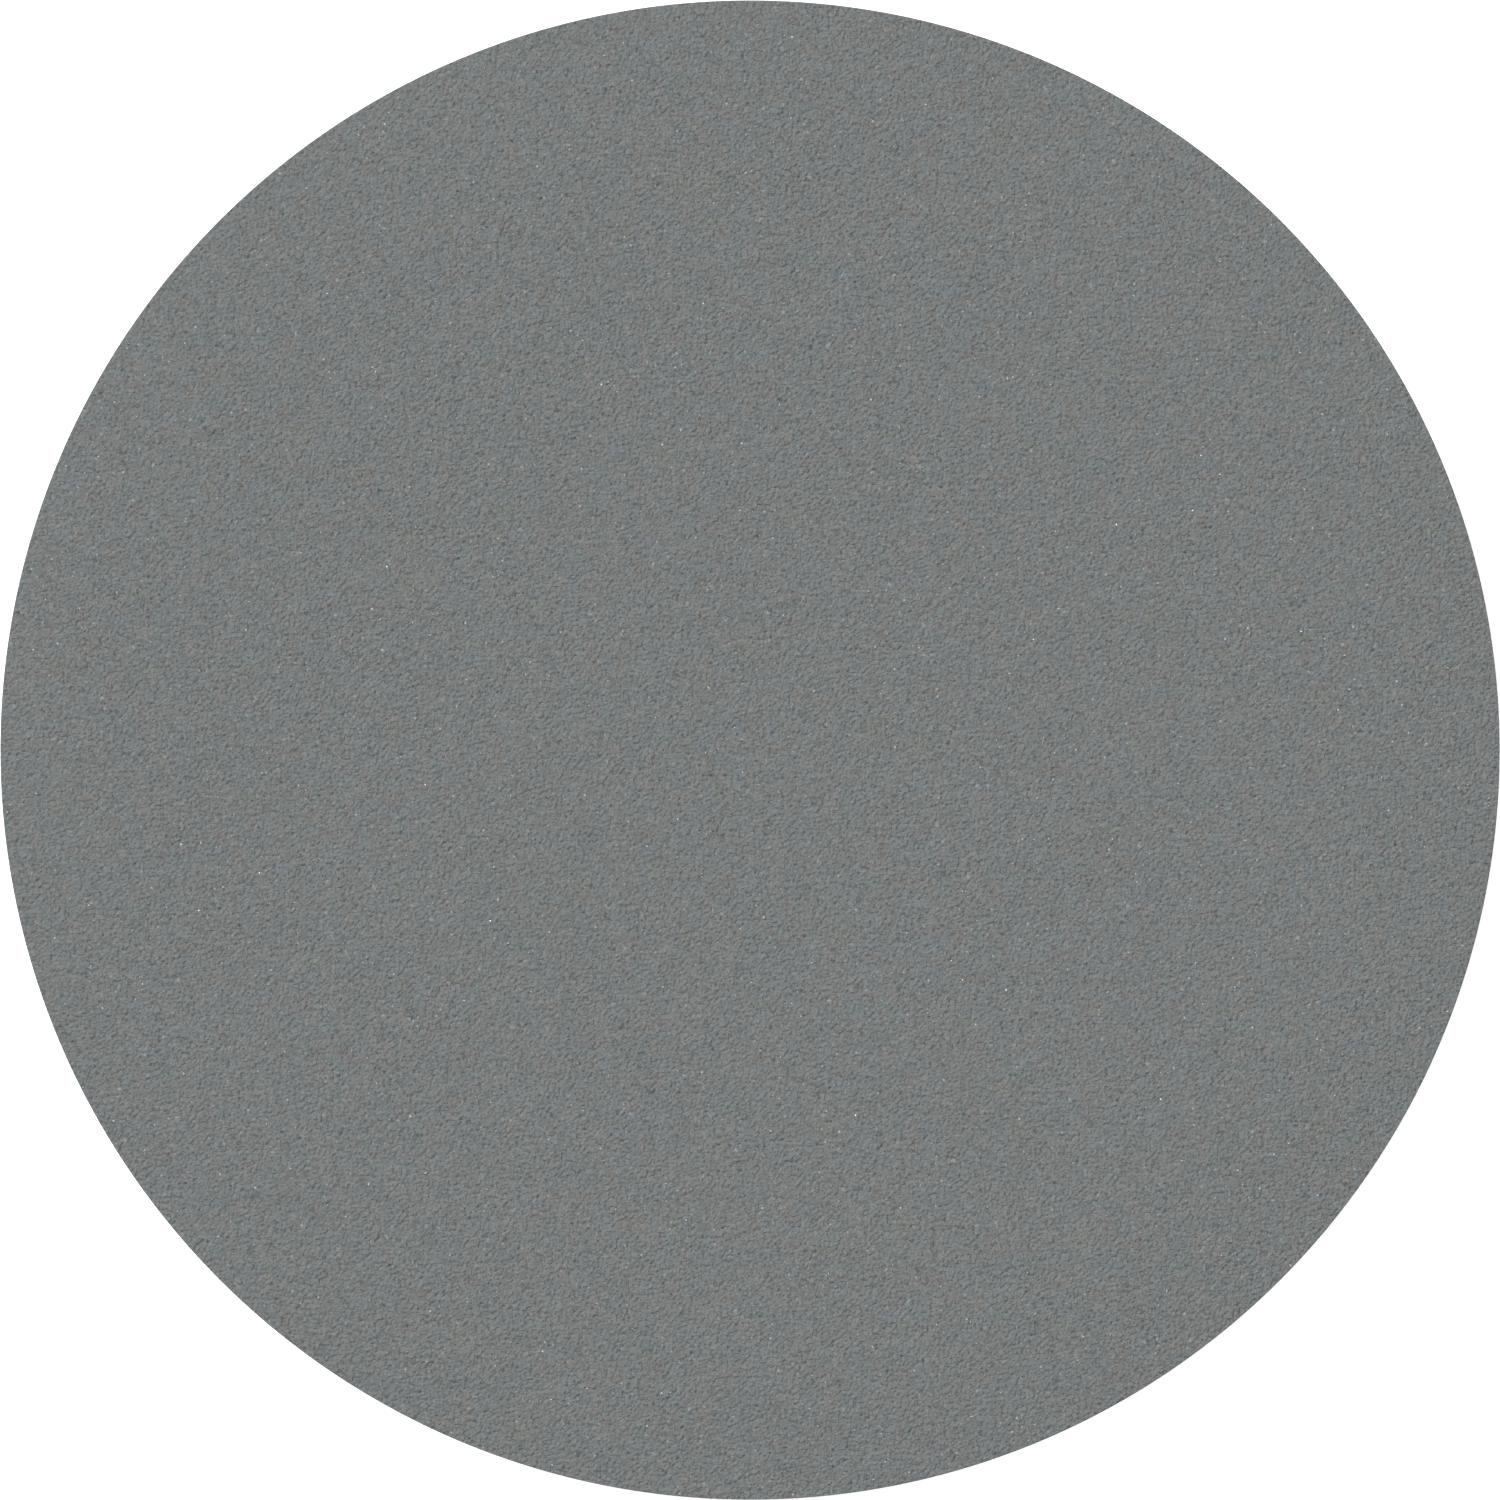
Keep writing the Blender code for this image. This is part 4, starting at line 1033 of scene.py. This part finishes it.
def build_frame():
    """The collar, flange, gasket and gussets, and the hold-open bar with its fittings."""
    finished_node("collar", ZINC, 0.0004)
    finished_node("base_flange", ZINC, 0.0006)
    finished_node("base_gasket", PAD_RUBBER, 0.0004)
    finished_node("prop_bracket", ZINC, 0.0009)
    finished_node("prop_pin", STAINLESS, 0.0003)
    finished_node("prop_rest", ZINC, 0.0006)
    finished_node("prop_bar", ZINC, 0.0010, 3)
    finished_node("prop_clevis", ZINC, 0.0008)
    weld_ring("flange_weld", COLLAR_OUTER + 0.0012, FLANGE_TOP + 0.0008, FLANGE_BEAD)
    for order, angle in enumerate(GUSSET_ANGLES, 1):
        finished_node(f"gusset_{order}", ZINC, 0.0006)
        weld_gusset(order, angle)


def outer_wall(x, side, z):
    """A point just off the collar's outer skin at this x, on its +Y (1) or -Y (-1) half."""
    return x, side * math.sqrt(WELD_OUTSIDE ** 2 - x ** 2), z


def inner_wall(y, z):
    """A point just off the collar's inner skin at this y, on its +X half."""
    return math.sqrt(WELD_INSIDE ** 2 - y ** 2), y, z


def weld_fittings():
    """Beads that join the lugs, the keeper and the bar's fittings to the collar."""
    for word in ("left", "right"):
        low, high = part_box(f"hinge_lug_{word}")
        for hand, x in (("a", low.x - BESIDE_PLATE), ("b", high.x + BESIDE_PLATE)):
            foot, top = outer_wall(x, 1, low.z + 0.0002), outer_wall(x, 1, high.z - 0.0020)
            weld_line(f"lug_weld_{word}_{hand}", foot, top, FITTING_BEAD)
    low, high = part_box("lock_keeper")
    for hand, x in (("a", low.x - BESIDE_PLATE), ("b", high.x + BESIDE_PLATE)):
        foot, top = outer_wall(x, -1, low.z + 0.0002), outer_wall(x, -1, COLLAR_TOP - 0.0035)
        weld_line(f"keeper_weld_{hand}", foot, top, FITTING_BEAD)
    low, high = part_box("prop_bracket")
    for word, z in (("top", high.z + OFF_SKIN), ("foot", low.z - OFF_SKIN)):
        weld_line(f"pivot_weld_{word}", inner_wall(low.y, z), inner_wall(high.y, z), PIVOT_BEAD)
    for word, y in (("a", low.y - OFF_SKIN), ("b", high.y + OFF_SKIN)):
        weld_line(f"pivot_weld_{word}", inner_wall(y, low.z), inner_wall(y, high.z), PIVOT_BEAD)
    low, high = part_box("prop_rest")
    for word, z in (("top", low.z + REST_PLATE + 0.0003), ("foot", low.z - 0.0003)):
        weld_line(f"rest_weld_{word}", inner_wall(low.y, z), inner_wall(high.y, z), REST_BEAD)


# ---------------------------------------------------------------- studio


WHITE = (1.0, 1.0, 1.0, 1.0)
FLOOR_PAINT = (0.86, 0.86, 0.86, 1.0)
FLOOR_SIZE = 120.0
FLOOR_GLOW = 0.50
SKY_LIGHT = 0.65
SKY_SEEN = 1.0
SUN_BOXES = (
    # name, where it hangs as seen from the lid, strength, spread in degrees
    ("key_softbox", (-1.0, 1.0, 1.65), 4.0, 25.0),
    ("fill_softbox", (1.2, -0.9, 1.1), 0.9, 60.0),
)


def build_floor():
    """A wide matt floor just under the base, pale enough to read as paper white."""
    bm = bmesh.new()
    drop = Matrix.Translation((0.0, 0.0, cad_low.z - 0.0002))
    bmesh.ops.create_grid(bm, x_segments=1, y_segments=1, size=FLOOR_SIZE, matrix=drop)
    mesh = bpy.data.meshes.new("studio_floor")
    bm.to_mesh(mesh)
    bm.free()
    floor = bpy.data.objects.new("studio_floor", mesh)
    bpy.context.scene.collection.objects.link(floor)
    made, _, shader, _ = new_material("studio_floor", 0.9)
    shader.inputs["Base Color"].default_value = FLOOR_PAINT
    shader.inputs["Specular IOR Level"].default_value = 0.1
    shader.inputs["Emission Color"].default_value = WHITE
    shader.inputs["Emission Strength"].default_value = FLOOR_GLOW
    mesh.materials.append(made)


def build_sky():
    """Soft light from all round, and plain white where the sky itself is seen."""
    world = bpy.data.worlds.new("studio_world")
    bpy.context.scene.world = world
    world.use_nodes = True
    tree = world.node_tree
    soft = tree.nodes["Background"]
    seen = tree.nodes.new("ShaderNodeBackground")
    for sky, strength in ((soft, SKY_LIGHT), (seen, SKY_SEEN)):
        sky.inputs["Color"].default_value = WHITE
        sky.inputs["Strength"].default_value = strength
    path = tree.nodes.new("ShaderNodeLightPath")
    choose = tree.nodes.new("ShaderNodeMixShader")
    tree.links.new(path.outputs["Is Camera Ray"], choose.inputs[0])
    tree.links.new(soft.outputs[0], choose.inputs[1])
    tree.links.new(seen.outputs[0], choose.inputs[2])
    tree.links.new(choose.outputs[0], tree.nodes["World Output"].inputs["Surface"])


def build_lamps():
    """Two wide soft lamps: a key from the far left and a weak fill across from it."""
    for name, towards, strength, spread in SUN_BOXES:
        lamp = bpy.data.lights.new(name, "SUN")
        lamp.energy = strength
        lamp.angle = math.radians(spread)
        obj = bpy.data.objects.new(name, lamp)
        obj.rotation_mode = "QUATERNION"
        obj.rotation_quaternion = Vector(towards).to_track_quat("Z", "Y")
        bpy.context.scene.collection.objects.link(obj)


def build_camera():
    """Straight above the lid, with the lid's edge just touching the frame."""
    data = bpy.data.cameras.new("overhead_camera")
    data.sensor_width = 36.0
    data.lens = 180.0
    reach = TREAD_RADIUS * data.lens / (data.sensor_width / 2)
    camera = bpy.data.objects.new("overhead_camera", data)
    camera.location = (0.0, 0.0, TREAD_TOP + reach)
    data.clip_end = 200.0
    bpy.context.scene.collection.objects.link(camera)
    bpy.context.scene.camera = camera
    bpy.context.scene.view_settings.view_transform = "Standard"


build_floor()
build_sky()
build_lamps()
build_camera()
build_tread()
build_grains()
build_pan()
build_seal()
build_ribs()
build_hinges()
build_lock()
build_handle("left", -1)
build_handle("right", 1)
build_frame()
weld_fittings()
